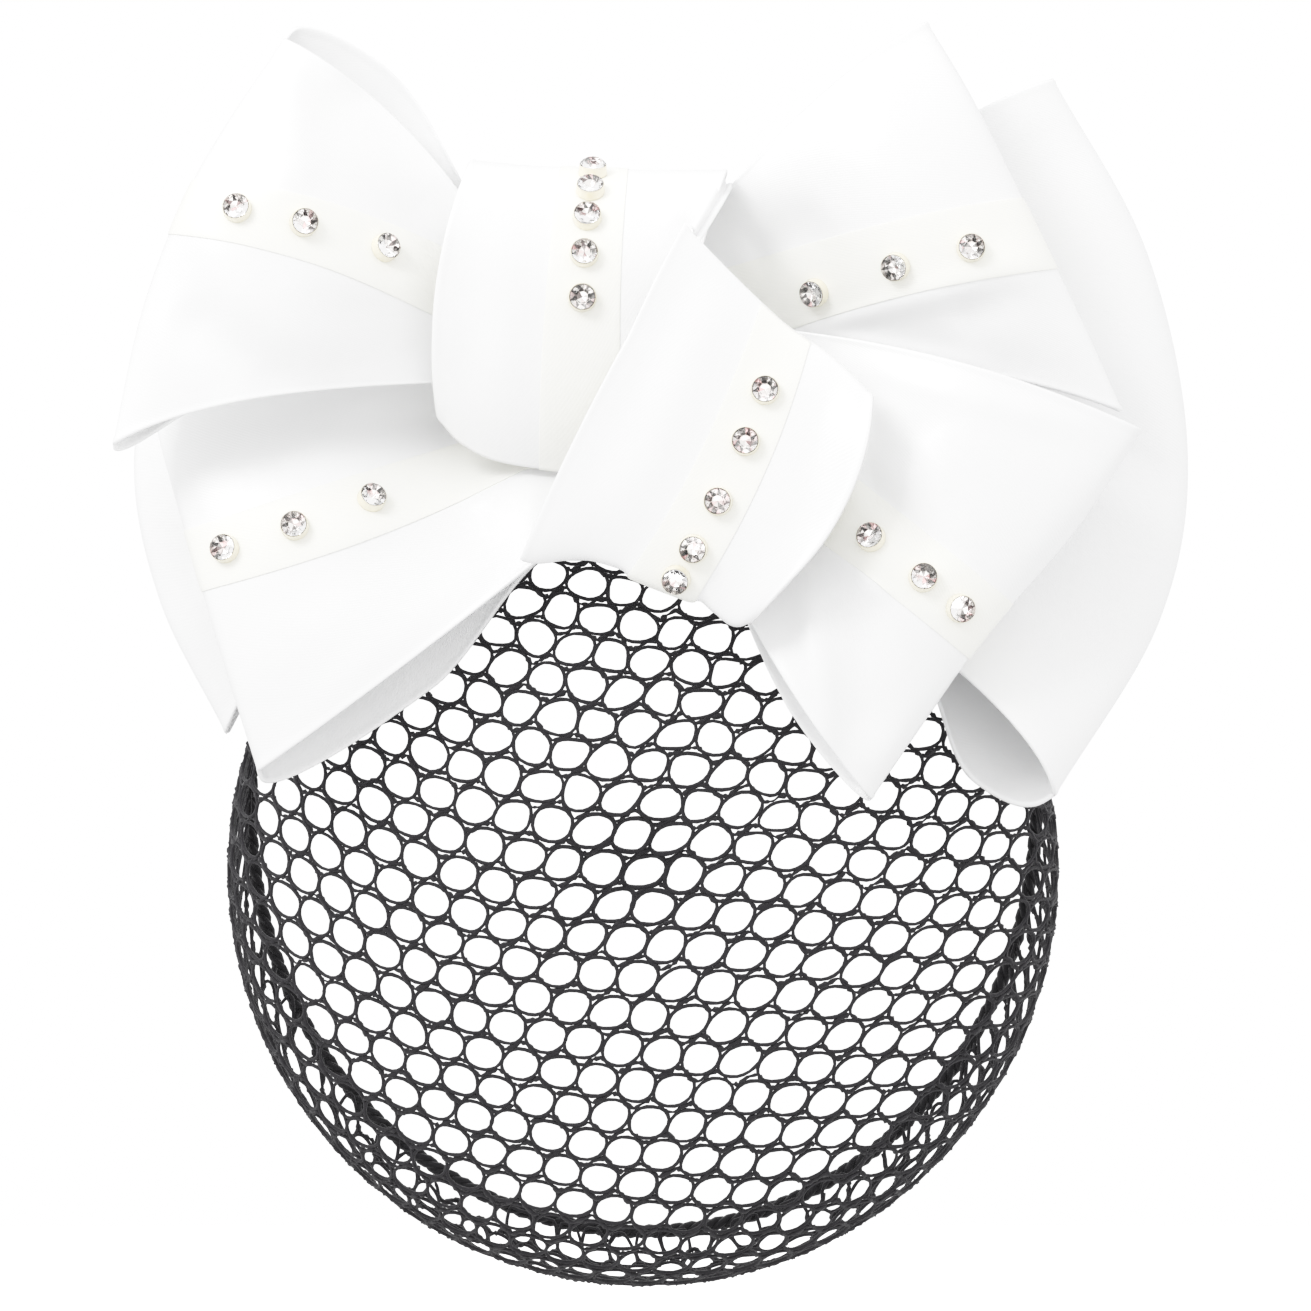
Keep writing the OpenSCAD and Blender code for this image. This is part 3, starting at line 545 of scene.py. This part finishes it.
def steel_mat():
    """Plated steel, brushed along its length"""
    mat, tree = new_mat("plated_steel")
    at = node(tree, "ShaderNodeTexCoord", {})["Object"]
    drawn = node(tree, "ShaderNodeMapping", {"Vector": at, "Scale": (40, 900, 900)})[0]
    brush = noise(tree, 1, 4, at=drawn)
    return surface(mat, {
        "Base Color": blend(tree, brush, (0.62, 0.63, 0.65), (0.78, 0.79, 0.81)), "Metallic": 1.0,
        "Roughness": spread(tree, brush, 0.16, 0.32), "Normal": bump(tree, brush, 0.15, 0.00005)})


def floor_mat():
    """Pale studio paper that glows a little"""
    mat = new_mat("pale_floor")[0]
    return surface(mat, {
        "Base Color": (0.93, 0.93, 0.93, 1), "Emission Color": (1, 1, 1, 1), "Emission Strength": 0.35,
        "Roughness": 0.9, "Specular IOR Level": 0.1})


SATIN = satin_mat("white_satin", (0.975, 0.975, 0.975), (0.945, 0.947, 0.95))
IVORY = satin_mat("ivory_satin", (0.982, 0.979, 0.935), (0.962, 0.958, 0.908), 1.3, 0.42)
YARN = yarn_mat("black_yarn", (0.012, 0.011, 0.013), (0.048, 0.045, 0.052))
ELASTIC = yarn_mat("black_elastic", (0.011, 0.010, 0.012), (0.038, 0.036, 0.041))
CRYSTAL, FOIL, CUP, STEEL = crystal_mat(), foil_mat(), cup_mat(), steel_mat()


# shares across a ribbon and across a trim, finer at the selvages
SHARES = np.r_[0, 0.004, 0.009, 0.016, 0.026, np.linspace(0.04, 0.96, 46), 0.974, 0.984, 0.991, 0.996, 1]
TRIM_SHARES = np.r_[-1, -0.985, -0.955, -0.92, np.linspace(-0.86, 0.86, 13), 0.92, 0.955, 0.985, 1]
# angles round a ribbon; a loop has finer steps where it turns at its fold
TURN = np.arange(0, 360, 2.5)
LOOP_TURN = np.unique(np.r_[TURN, np.arange(160, 202, 1.25)])
WRAP_TURN = np.arange(-54, 210.1, 2.0)

ribbons = {}
for name in LOOPS:
    mid, nrm = folded(name, LOOP_TURN[:, None], SHARES[None, :])
    uv_at = (0, 7.3 * len(ribbons))
    ob = cloth("ribbon_loop_" + name, mid, nrm, SATIN, RIBBON_THICK, RIBBON_BEAD, uv_at, ring=True)
    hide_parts("loop_" + name)
    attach(ob, "root")
    ribbons[name] = ob

for name, turn, ring in (("wrap", WRAP_TURN, False), ("cross", TURN, True)):
    mid, nrm = folded(name, turn[:, None], SHARES[None, :])
    uv_at = (3.0, 61 + 9 * len(ribbons))
    ob = cloth("ribbon_knot_" + name, mid, nrm, SATIN, RIBBON_THICK, RIBBON_BEAD, uv_at, ring)
    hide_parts("knot_" + name)
    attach(ob, "root")
    ribbons[name] = ob


# The neck's middle line: its top in the knot, the point that draws it forwards, and its low end in the band
NECK_LINE = np.array([(9.2, -24.0, 16.9), (8.6, -39.5, 14.8), (5.9, -42.2, 10.2)])
NECK_HALF, NECK_PINCH = 1.0, 0.1  # half of its width, and how much less that is in its middle
NECK_TURN, NECK_TWIST = 0.5, 0.75  # how it is turned at its top, and how much more at its low end (radians)
NECK_CREASE, NECK_CUP = 0.75, 0.45  # the depth of its crease, and of its hollow section
NECK_ROWS, NECK_COLS = 40, 41


def neck_grid():
    """The crossing band's narrow, pinched neck, which comes out of the knot's top right corner"""
    U, W = np.meshgrid(np.linspace(0, 1, NECK_ROWS), np.linspace(-1, 1, NECK_COLS), indexing="ij")
    line = bend(*NECK_LINE, U[..., None])
    half = NECK_HALF - NECK_PINCH * np.sin(U * 2.6)
    twist = NECK_TURN + NECK_TWIST * U
    over = unit(np.stack([np.cos(twist), -0.35 * (1 - U), -0.75 * np.sin(twist)], -1))
    out = unit(np.cross(over, unit(np.gradient(line, axis=0))))
    out *= np.sign(-out[..., 1:2] + 1e-9)
    pleat = -NECK_CREASE * bell(W, 0.25, 0.5) - NECK_CUP * W ** 2
    mid = line + over * (half * W)[..., None] + out * pleat[..., None]
    nrm = unit(np.cross(np.gradient(mid, axis=0), np.gradient(mid, axis=1)))
    return mid, nrm * np.sign(-nrm[NECK_ROWS // 2, NECK_COLS // 2, 1])


neck = cloth("ribbon_knot_neck", *neck_grid(), SATIN, NECK_THICK, NECK_BEAD, (1.0, 120.0))
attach(neck, "root")

# The trims, and where the stones sit on their middle lines
seats = []
for name, (first, last, stones) in TRIMS.items():
    turn = np.arange(first, last + 0.1, 2.0)
    width = np.linalg.norm(ribbon_point(name, turn, 1.0) - ribbon_point(name, turn, 0.0), axis=-1)
    half_share = np.minimum(TRIM_W / 2 / width, TRIM_MOST)
    mid, nrm = folded(name, turn[:, None], 0.5 + half_share[:, None] * TRIM_SHARES[None, :])
    lift = RIBBON_THICK / 2 + TRIM_GAP + TRIM_CROWN * (1 - np.abs(TRIM_SHARES) ** 6)[None, :, None]
    uv_at = (0, 3.1 * len(seats))
    ob = cloth("trim_ribbon_" + name, mid + nrm * lift, nrm, IVORY, TRIM_THICK, TRIM_BEAD, uv_at)
    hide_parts("trim_" + name)
    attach(ob, "root")
    # a sheet is stated at least 10 mm wide, so the trim's true width is in its area
    for s in stones:
        p, n = folded(name, np.array([s, s + 0.5, s - 0.5]), np.array([0.5, 0.5, 0.5]))
        along = p[1] - p[2]
        seats.append((p[0] + n[0] * CUP_LIFT, n[0], unit(along - n[0] * (along @ n[0]))))


# Stones, foils and settings, in mm with Z up and the seat at 0
CROWN_SHOWN = 0.916  # the share of a stone's radius that its cup leaves open
TABLE_R, STAR_R, GIRDLE_R = (CROWN_SHOWN * r for r in (0.88, 1.22, 1.55))
TABLE_Z, STAR_Z, GIRDLE_TOP, GIRDLE_LOW, POINT_Z = 1.80, 1.61, 1.28, 1.15, 0.45
FOIL_R, FOIL_Z, FOIL_STAR_R, FOIL_STAR_Z, FOIL_POINT_Z = 1.38, 1.13, 0.66, 0.72, 0.40
CUP_SIDES = 32
CUP_PROFILE = np.array([  # radius and height: under the seat, up the side, over the rim and down inside
    [0.05, 0.0], [1.40, 0.0], [1.58, 0.03], [1.60, 0.14], [1.54, 0.50], [1.50, 0.95], [1.48, 1.13],
    [1.455, 1.16], [1.445, 1.12], [1.43, 1.00], [0.85, 0.45], [0.4, 0.24], [0.05, 0.22]])


def circle(radius, z, count, start=0.0):
    """Points of a circle at a height, the first at an angle in degrees"""
    a = np.radians(start + 360 / count * np.arange(count))
    return np.stack([radius * np.cos(a), radius * np.sin(a), np.full(count, z)], -1)


def outward(points, faces):
    """Turns every face so that it looks away from the middle of its closed form"""
    c = points.mean(0)
    out = []
    for q in np.array(faces):
        normal = np.cross(points[q[1]] - points[q[0]], points[q[2]] - points[q[1]])
        out.append(q if normal @ (points[q].mean(0) - c) > 0 else q[::-1])
    return np.array(out)


def cut_stone():
    """The points of a cut stone, and its faces with three, four and eight corners"""
    points = np.concatenate([
        circle(TABLE_R, TABLE_Z, 8), circle(STAR_R, STAR_Z, 8, 22.5),
        circle(GIRDLE_R, GIRDLE_TOP, 8), circle(GIRDLE_R, GIRDLE_TOP, 8, 22.5),
        circle(GIRDLE_R, GIRDLE_LOW, 8), circle(GIRDLE_R, GIRDLE_LOW, 8, 22.5), [[0, 0, POINT_Z]]])
    # where each circle begins: table, star, the girdle's upper pair, its lower pair, and the point
    T, S, G, H, G2, H2, C = range(0, 49, 8)
    tri, quad = [], []
    for i in range(8):
        j = (i + 1) % 8
        tri += [(T + i, S + i, T + j), (S + i, G + i, H + i), (S + i, H + i, G + j)]
        tri += [(G2 + i, C, H2 + i), (H2 + i, C, G2 + j)]
        quad += [(T + i, S + (i - 1) % 8, G + i, S + i)]
        quad += [(G + i, G2 + i, H2 + i, H + i), (H + i, H2 + i, G2 + j, G + j)]
    return points, [outward(points, f) for f in (tri, quad, [tuple(range(8))])]


def foil_star():
    """The foil under a stone: 32 facets in a star"""
    points = np.concatenate([circle(FOIL_R, FOIL_Z, 16), circle(FOIL_STAR_R, FOIL_STAR_Z, 8, 11),
                             [[0, 0, FOIL_POINT_Z]]])
    faces = []
    for i in range(8):
        j = (i + 1) % 8
        faces += [(2 * i, 2 * i + 1, 16 + i), (2 * i + 1, 2 * j, 16 + i), (16 + i, 2 * j, 16 + j),
                  (16 + i, 16 + j, 24)]
    return points, np.array(faces)


def turned_cup():
    """A low turned ring with a soft rim, and a seat under the girdle"""
    n, ang = len(CUP_PROFILE), np.linspace(0, 2 * np.pi, CUP_SIDES, endpoint=False)
    r, z = CUP_PROFILE[:, :1], CUP_PROFILE[:, 1:]
    points = np.stack([r * np.cos(ang), r * np.sin(ang), np.broadcast_to(z, (n, CUP_SIDES))], -1)
    i, k = np.meshgrid(np.arange(n), np.arange(CUP_SIDES), indexing="ij")
    here, there, k2 = i * CUP_SIDES, (i + 1) % n * CUP_SIDES, (k + 1) % CUP_SIDES
    faces = np.stack([here + k, here + k2, there + k2, there + k], -1).reshape(-1, 4)
    return points.reshape(-1, 3), faces


def painted_reflection_tones():
    """Painted reflections on a foil's 32 facets, one tone each: some dark, most bright, and a few warm"""
    dark, bright = rng.uniform(0.05, 0.30, 32), rng.choice([0.4, 0.9, 1.0], 32, p=[0.2, 0.3, 0.5])
    tone = np.where(np.arange(32) % 4 == 2, dark, bright)
    warm = rng.uniform(0.0, 1.0, 32) ** 5
    return np.stack([tone, tone * (0.985 - 0.35 * warm), tone * (0.965 - 0.33 * warm), np.ones(32)], -1)


stone_points, stone_faces = cut_stone()
foil_points, foil_faces = foil_star()
cup_points, cup_faces = turned_cup()
glass, foil, cup, painted_reflections = [], [], [], []
for at, n, along in seats:
    spin = math.radians(rng.uniform(0, 45))
    side = np.cross(n, along)
    ca, sa = math.cos(spin), math.sin(spin)
    axes = np.stack([along * ca + side * sa, side * ca - along * sa, n], 0)
    glass.append(stone_points @ axes + at)
    foil.append((foil_points @ axes + at, foil_faces))
    cup.append((cup_points @ axes + at, cup_faces))
    # each stone's foil gets its own set of painted reflection tones
    painted_reflections.append(painted_reflection_tones())

begin = (np.arange(len(glass)) * len(stone_points))[:, None, None]
glass_faces = [(f[None] + begin).reshape(-1, f.shape[1]) for f in stone_faces]
gems = add_mesh("cut_stones", np.concatenate(glass), glass_faces, CRYSTAL, smooth=False)
stone_nodes = [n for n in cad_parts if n.startswith("stone_")]
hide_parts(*stone_nodes)
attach(gems, "root")
foils = add_mesh("stone_foils", *join(foil), FOIL, smooth=False)
# each foil facet is painted with its reflection tone
col = foils.data.color_attributes.new("painted_reflection", "FLOAT_COLOR", "CORNER")
col.data.foreach_set("color", np.repeat(np.concatenate(painted_reflections), 3, axis=0).astype(np.float32).ravel())
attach(foils, "root")
cups = add_mesh("stone_cups", *join(cup), CUP)
cup_nodes = [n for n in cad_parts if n.startswith("cups_")]
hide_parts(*cup_nodes)
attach(cups, "root")

# The knitted net, in mm. Its form is the part's source's, but its mouth reaches further back, to the elastic
NET_R, NET_DROP, WIDE_Y, FRONT_Y = 46.0, 59.7, 14.0, 36.5
MOUTH_R, MOUTH_HIGH, MOUTH_DROP, MOUTH_Y = 44.0, 47.6, 52.7, 1.9
DIMPLE, DIMPLE_R = 6.0, 7.0
PLEATS, PLEAT_HIGH, PLEAT_R, PLEAT_WIDE = 7, 0.5, 6, 5  # round the dimple: count, height, radius, width
THICKER, THICKER_R = 0.45, 6.5  # the cord is drawn together and thicker round the dimple
# the knit: from mesh to mesh in a row, from row to row, and half sizes of a mesh
PITCH, ROW = 4.42, 3.85
MESH_X, MESH_Z = 2.18, 1.88
MESH_SQUARE_X, MESH_SQUARE_Z = 0.86, 0.94  # exponents under 1 make it squarer than an ellipse
MESH_LEAN, LEAN_GROWS = 0.16, 0.0035  # how it leans to the right, and how much more with each mm to the right
ROWS_FALL = -6.5  # degrees by which the rows fall to the right
ZIGZAG = 0.165  # of the walls between the rows, as a share of ROW
RING_IN, STRAND_IN = 0.6, 0.1  # how far from the rim the last meshes' middles and the strands end
RING_RAD, RING_MIN, RING_MAX, RING_POINTS, RING_SIDES = 0.205, 0.17, 0.34, 20, 5
STRAND_RAD, STRAND_MIN, STRAND_MAX, STRAND_STEPS, STRAND_SIDES = 0.25, 0.10, 0.36, 16, 4
STRAND_WAVER, STRAND_RISE, STRAND_SHORTEST = 0.07, 0.04, 6  # sideways, outwards, and its fewest points
# standard deviations: of the meshes' width, height, lean and place, and of the rings' and strands' thickness
UNEVEN_X, UNEVEN_Z, UNEVEN_LEAN, UNEVEN_PLACE = 0.012, 0.02, 0.05, 0.06
RING_LUMPS, STRAND_LUMPS = 0.10, 0.36


def dome_profile():
    """Arc length, radius, depth, drop and height over width, from the front's middle to the oval mouth"""
    r = NET_R * np.sin(np.pi / 2 * np.linspace(0, 1, 400)) ** 0.9
    y = WIDE_Y + (FRONT_Y - WIDE_Y) * np.sqrt(np.maximum(0, 1 - (r / NET_R) ** 2))
    z = np.full_like(r, -NET_DROP)
    past = np.linspace(0, np.pi / 2, 120)[1:]
    r2 = NET_R + (MOUTH_R - NET_R) * (1 - np.cos(past))
    y2 = WIDE_Y + (MOUTH_Y - WIDE_Y) * np.sin(past)
    z2 = -NET_DROP + (NET_DROP - MOUTH_DROP) * (1 - np.cos(past))
    tall = np.r_[np.ones_like(r), 1 + (MOUTH_HIGH / MOUTH_R - 1) * (1 - np.cos(past))]
    r, y, z = np.r_[r, r2], np.r_[y, y2], np.r_[z, z2]
    s = np.r_[0, np.cumsum(np.hypot(np.diff(r), np.diff(y)))]
    return s, r, y, z, tall


ARC, *PROFILE = dome_profile()
RHO_MAX = ARC[-1]


def on_net(p, lift=0.0):
    """Flat net coordinates (..., 2) in mm to points on the filled net's surface"""
    rho = np.minimum(np.linalg.norm(p, axis=-1), RHO_MAX)
    turn = np.arctan2(p[..., 0], p[..., 1])
    r, y, z, tall = (np.interp(rho, ARC, c) for c in PROFILE)
    # threads draw into the dimple in soft pleats
    pleat = PLEAT_HIGH * bell(r, PLEAT_R, PLEAT_WIDE) * np.cos(PLEATS * turn + 0.6)
    y = y - DIMPLE * bell(r, 0, DIMPLE_R) + lift + pleat
    return np.stack([r * np.sin(turn), -y, z + r * tall * np.cos(turn)], -1)


def lattice(x, y):
    """Lattice coordinates to the flat net: rows fall to the right, more steeply on the left"""
    lean = math.radians(ROWS_FALL)
    x2 = x * math.cos(lean) - y * math.sin(lean)
    y2 = x * math.sin(lean) + y * math.cos(lean)
    y2 = y2 + np.where(x2 < 0, 0.0044 * x2 * x2, 0.0) + 0.35 * np.sin(x2 * 0.13 + 0.5) * np.cos(y2 * 0.09)
    x2 = x2 + 0.10 * y2 + 0.4 * np.sin(y2 * 0.11 + x2 * 0.05)
    # neighbouring meshes are stretched unevenly
    much = 0.30 + 0.75 * np.exp(-(x ** 2 / 2 + (y - 20) ** 2) / 420)
    dx = 0.22 * np.sin(0.52 * x + 0.83 * y + 1.0) + 0.17 * np.sin(1.07 * y - 0.41 * x + 2.1)
    dy = 0.18 * np.sin(0.71 * x - 0.46 * y + 0.4) + 0.14 * np.sin(0.93 * x + 0.88 * y + 3.0)
    return np.stack([x2 + much * dx, y2 + much * dy], -1)


rows = int(RHO_MAX / ROW) + 3
cols = int(RHO_MAX / PITCH) + 4


def mesh_rings():
    """Every mesh is a ring of knitted cord, in flat net coordinates; neighbours in a row share one side"""
    th = np.linspace(0, 2 * np.pi, RING_POINTS, endpoint=False)
    rings = []
    for j in range(-rows, rows + 1):
        for i in range(-cols, cols + 1):
            xc, yc = (i + 0.5 * (j % 2)) * PITCH, j * ROW
            a = MESH_X * (1 + rng.normal(0, UNEVEN_X))
            b = MESH_Z * (1 + rng.normal(0, UNEVEN_Z))
            x, y = a * rounded(np.cos(th), MESH_SQUARE_X), b * rounded(np.sin(th), MESH_SQUARE_Z)
            x = x + (MESH_LEAN + LEAN_GROWS * xc + rng.normal(0, UNEVEN_LEAN)) * y
            flat = lattice(xc + x + rng.normal(0, UNEVEN_PLACE), yc + y + rng.normal(0, UNEVEN_PLACE))
            # a mesh is kept when its middle lies inside the rim, and what passes the rim is drawn in to it
            if np.linalg.norm(flat.mean(0)) < RHO_MAX - RING_IN:
                rings.append(flat)
    return np.array(rings)


rings = mesh_rings()
ring_rad = RING_RAD * (1 + RING_LUMPS * rng.normal(0, 1, rings.shape[:2]))
ring_rad = ring_rad * (1 + THICKER * bell(np.linalg.norm(rings, axis=-1), 0, THICKER_R))
ring_rad = np.clip(ring_rad, RING_MIN, RING_MAX)
ring_part = tubes(on_net(rings), ring_rad, RING_SIDES, closed=True, turn=0.5)

# a lumpy strand runs along each row wall and fills the corners between the meshes but for pinholes
n = 2 * cols * STRAND_STEPS + 1
x = np.linspace(-cols * PITCH, cols * PITCH, n)
strands = []
for j in range(-rows, rows):
    phase = (x / PITCH - 0.5 * (j % 2)) * 2 * math.pi
    wall = (j + 0.5) * ROW + ZIGZAG * ROW * np.cos(phase)
    flat = lattice(x, wall + STRAND_WAVER * np.sin(5.3 * x + 2.0 * j))
    inside = np.linalg.norm(flat, axis=-1) < RHO_MAX - STRAND_IN
    for run in np.split(np.arange(n), np.flatnonzero(np.diff(inside.astype(int))) + 1):
        if inside[run[0]] and len(run) >= STRAND_SHORTEST:
            line = on_net(flat[run], STRAND_RISE * np.sin(2 * phase[run]))
            rad = STRAND_RAD * (1 + STRAND_LUMPS * rng.normal(0, 1, len(line)))
            strands.append(tubes(line[None], np.clip(rad, STRAND_MIN, STRAND_MAX)[None], STRAND_SIDES))

net = add_mesh("net_meshes", *join([ring_part]), YARN)
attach(net, "root")
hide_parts("net_pouch")
net_rows = add_mesh("net_row_strands", *join(strands), YARN)
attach(net_rows, "root")

# The elastic edge: three strands laid round each other along the mouth
ELASTIC_R, ELASTIC_LAYS, ELASTIC_Y, ELASTIC_POINTS, ELASTIC_SIDES = 0.42, 60, 0.95, 400, 6
ELASTIC_STRANDS = 3
ang = np.linspace(0, 2 * np.pi, ELASTIC_POINTS, endpoint=False)
depth = np.full_like(ang, -ELASTIC_Y)
core = np.stack([MOUTH_R * np.sin(ang), depth, -MOUTH_DROP + MOUTH_HIGH * np.cos(ang)], -1)
radial = unit(np.stack([MOUTH_HIGH * np.sin(ang), np.zeros_like(ang), MOUTH_R * np.cos(ang)], -1))
rear_way = np.array([0, 1.0, 0])
parts = []
for k in range(ELASTIC_STRANDS):
    phase = (ang * ELASTIC_LAYS + k * 2 * math.pi / ELASTIC_STRANDS)[:, None]
    line = core + ELASTIC_R * (np.cos(phase) * radial + np.sin(phase) * rear_way)
    parts.append(tubes(line[None], ELASTIC_R, ELASTIC_SIDES, closed=True))
edge = add_mesh("elastic_cord_edge", *join(parts), ELASTIC)
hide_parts("elastic_edge")
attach(edge, "root")

# The barrette: its own solid with softened edges
SOFT_EDGE, FLAT_ANGLE, SHARP_ANGLE = 0.16, math.radians(1.0), math.radians(40)
clip = bpy.data.objects.new("barrette_clip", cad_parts["barrette"].data.copy())
scene.collection.objects.link(clip)
clip.data.materials.clear()
clip.data.materials.append(STEEL)
bm = bmesh.new()
bm.from_mesh(clip.data)
bmesh.ops.remove_doubles(bm, verts=bm.verts, dist=1e-6)
bmesh.ops.dissolve_limit(bm, angle_limit=FLAT_ANGLE, verts=bm.verts, edges=bm.edges)
sharp = [e for e in bm.edges if len(e.link_faces) == 2 and e.calc_face_angle(0) > SHARP_ANGLE]
bmesh.ops.bevel(bm, geom=sharp, offset=SOFT_EDGE * MM, segments=2, affect="EDGES", profile=0.6,
                clamp_overlap=True)
for face in bm.faces:
    face.smooth = True
bm.to_mesh(clip.data)
bm.free()
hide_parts("barrette")
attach(clip, "root")

# The stage
FLOOR_R, FLOOR_Z, FLOOR_SIDES = 900, -135.0, 96
floor = add_mesh("floor", np.concatenate([circle(FLOOR_R, FLOOR_Z, FLOOR_SIDES), [[0, 0, FLOOR_Z]]]),
                 np.array([(i, (i + 1) % FLOOR_SIDES, FLOOR_SIDES) for i in range(FLOOR_SIDES)]), floor_mat())
floor.visible_diffuse = False
floor.visible_glossy = False

# The world: a big soft tent, a little brighter above than below, so that the satin's turned edges read
WHITE = (1.0, 1.0, 1.0, 1)
world = bpy.data.worlds.new("studio")
scene.world = world
world.use_nodes = True
sky = world.node_tree
way = node(sky, "ShaderNodeSeparateXYZ", {0: node(sky, "ShaderNodeTexCoord", {})["Generated"]})


def slope(axis, low, high, at_low, at_high):
    """A smooth change of the tent's strength along one axis"""
    inputs = {"Value": way[axis], "From Min": low, "From Max": high, "To Min": at_low, "To Max": at_high}
    return node(sky, "ShaderNodeMapRange", inputs, interpolation_type="SMOOTHSTEP")[0]


def times(a, b):
    """The product of two of the tent's values"""
    return node(sky, "ShaderNodeMath", {0: a, 1: b}, operation="MULTIPLY")[0]


level = times(slope("Y", -0.6, 0.75, 0.81, 0.83), slope("X", -0.9, 0.9, 1.00, 1.03))
tent = sky.nodes["Background"]
plug(sky, tent, {"Color": WHITE, "Strength": times(level, slope("Z", -0.9, 0.7, 0.88, 1.04))})
# what the camera sees of it directly is a plain white studio background
plain = node(sky, "ShaderNodeBackground", {"Color": WHITE, "Strength": 1.0})[0]
seen = node(sky, "ShaderNodeLightPath", {})["Is Camera Ray"]
both = node(sky, "ShaderNodeMixShader", {0: seen, 1: tent.outputs[0], 2: plain})[0]
plug(sky, sky.nodes["World Output"], {"Surface": both})


# Lights, in metres and watts
def area(name, at, to, size, power):
    """A soft box that looks from one place to another"""
    light = bpy.data.lights.new(name, "AREA")
    light.shape = "RECTANGLE"
    light.size, light.size_y = size
    light.energy = power
    ob = bpy.data.objects.new(name, light)
    ob.location = at
    ob.rotation_mode = "QUATERNION"
    ob.rotation_quaternion = (Vector(to) - Vector(at)).to_track_quat("-Z", "Y")
    scene.collection.objects.link(ob)


area("key", (-0.55, -0.65, 0.60), (0, -0.03, -0.03), (0.35, 0.35), 2.6)
area("fill", (0.75, -0.60, 0.10), (0, -0.03, -0.03), (0.6, 0.6), 0.10)
area("top", (0.0, 0.05, 0.80), (0, -0.02, -0.03), (0.7, 0.5), 0.42)

# The camera looks straight at the front, and its frame is the photograph's
PHOTO_PIXELS, PIXEL = 1311, 0.00011  # metres to a pixel, from the stones' size
AIM_X, AIM_Y, AIM_Z = 0.001375, -0.030, -0.0358
DISTANCE, SENSOR = 1.6, 36
camera = bpy.data.cameras.new("camera")
camera.sensor_width = SENSOR
camera.lens = SENSOR * DISTANCE / (PHOTO_PIXELS * PIXEL)
camera.clip_start, camera.clip_end = 0.05, 10
camera_ob = bpy.data.objects.new("camera", camera)
camera_ob.location = (AIM_X, AIM_Y - DISTANCE, AIM_Z)
camera_ob.rotation_euler = (math.radians(90), 0, 0)
scene.collection.objects.link(camera_ob)
scene.camera = camera_ob

# A tone curve for white cloth: soft shades near white, blacks kept
TONES = ((0.04, 0.04), (0.15, 0.19), (0.35, 0.50), (0.53, 0.72), (0.72, 0.865), (0.90, 0.960))
view = scene.view_settings
view.view_transform = "Standard"
view.look = "None"
view.use_curve_mapping = True
for before, after in TONES:
    view.curve_mapping.curves[3].points.new(before, after)
view.curve_mapping.update()
# white satin passes light on many times inside its folds
scene.cycles.diffuse_bounces = 10
scene.cycles.max_bounces = 16
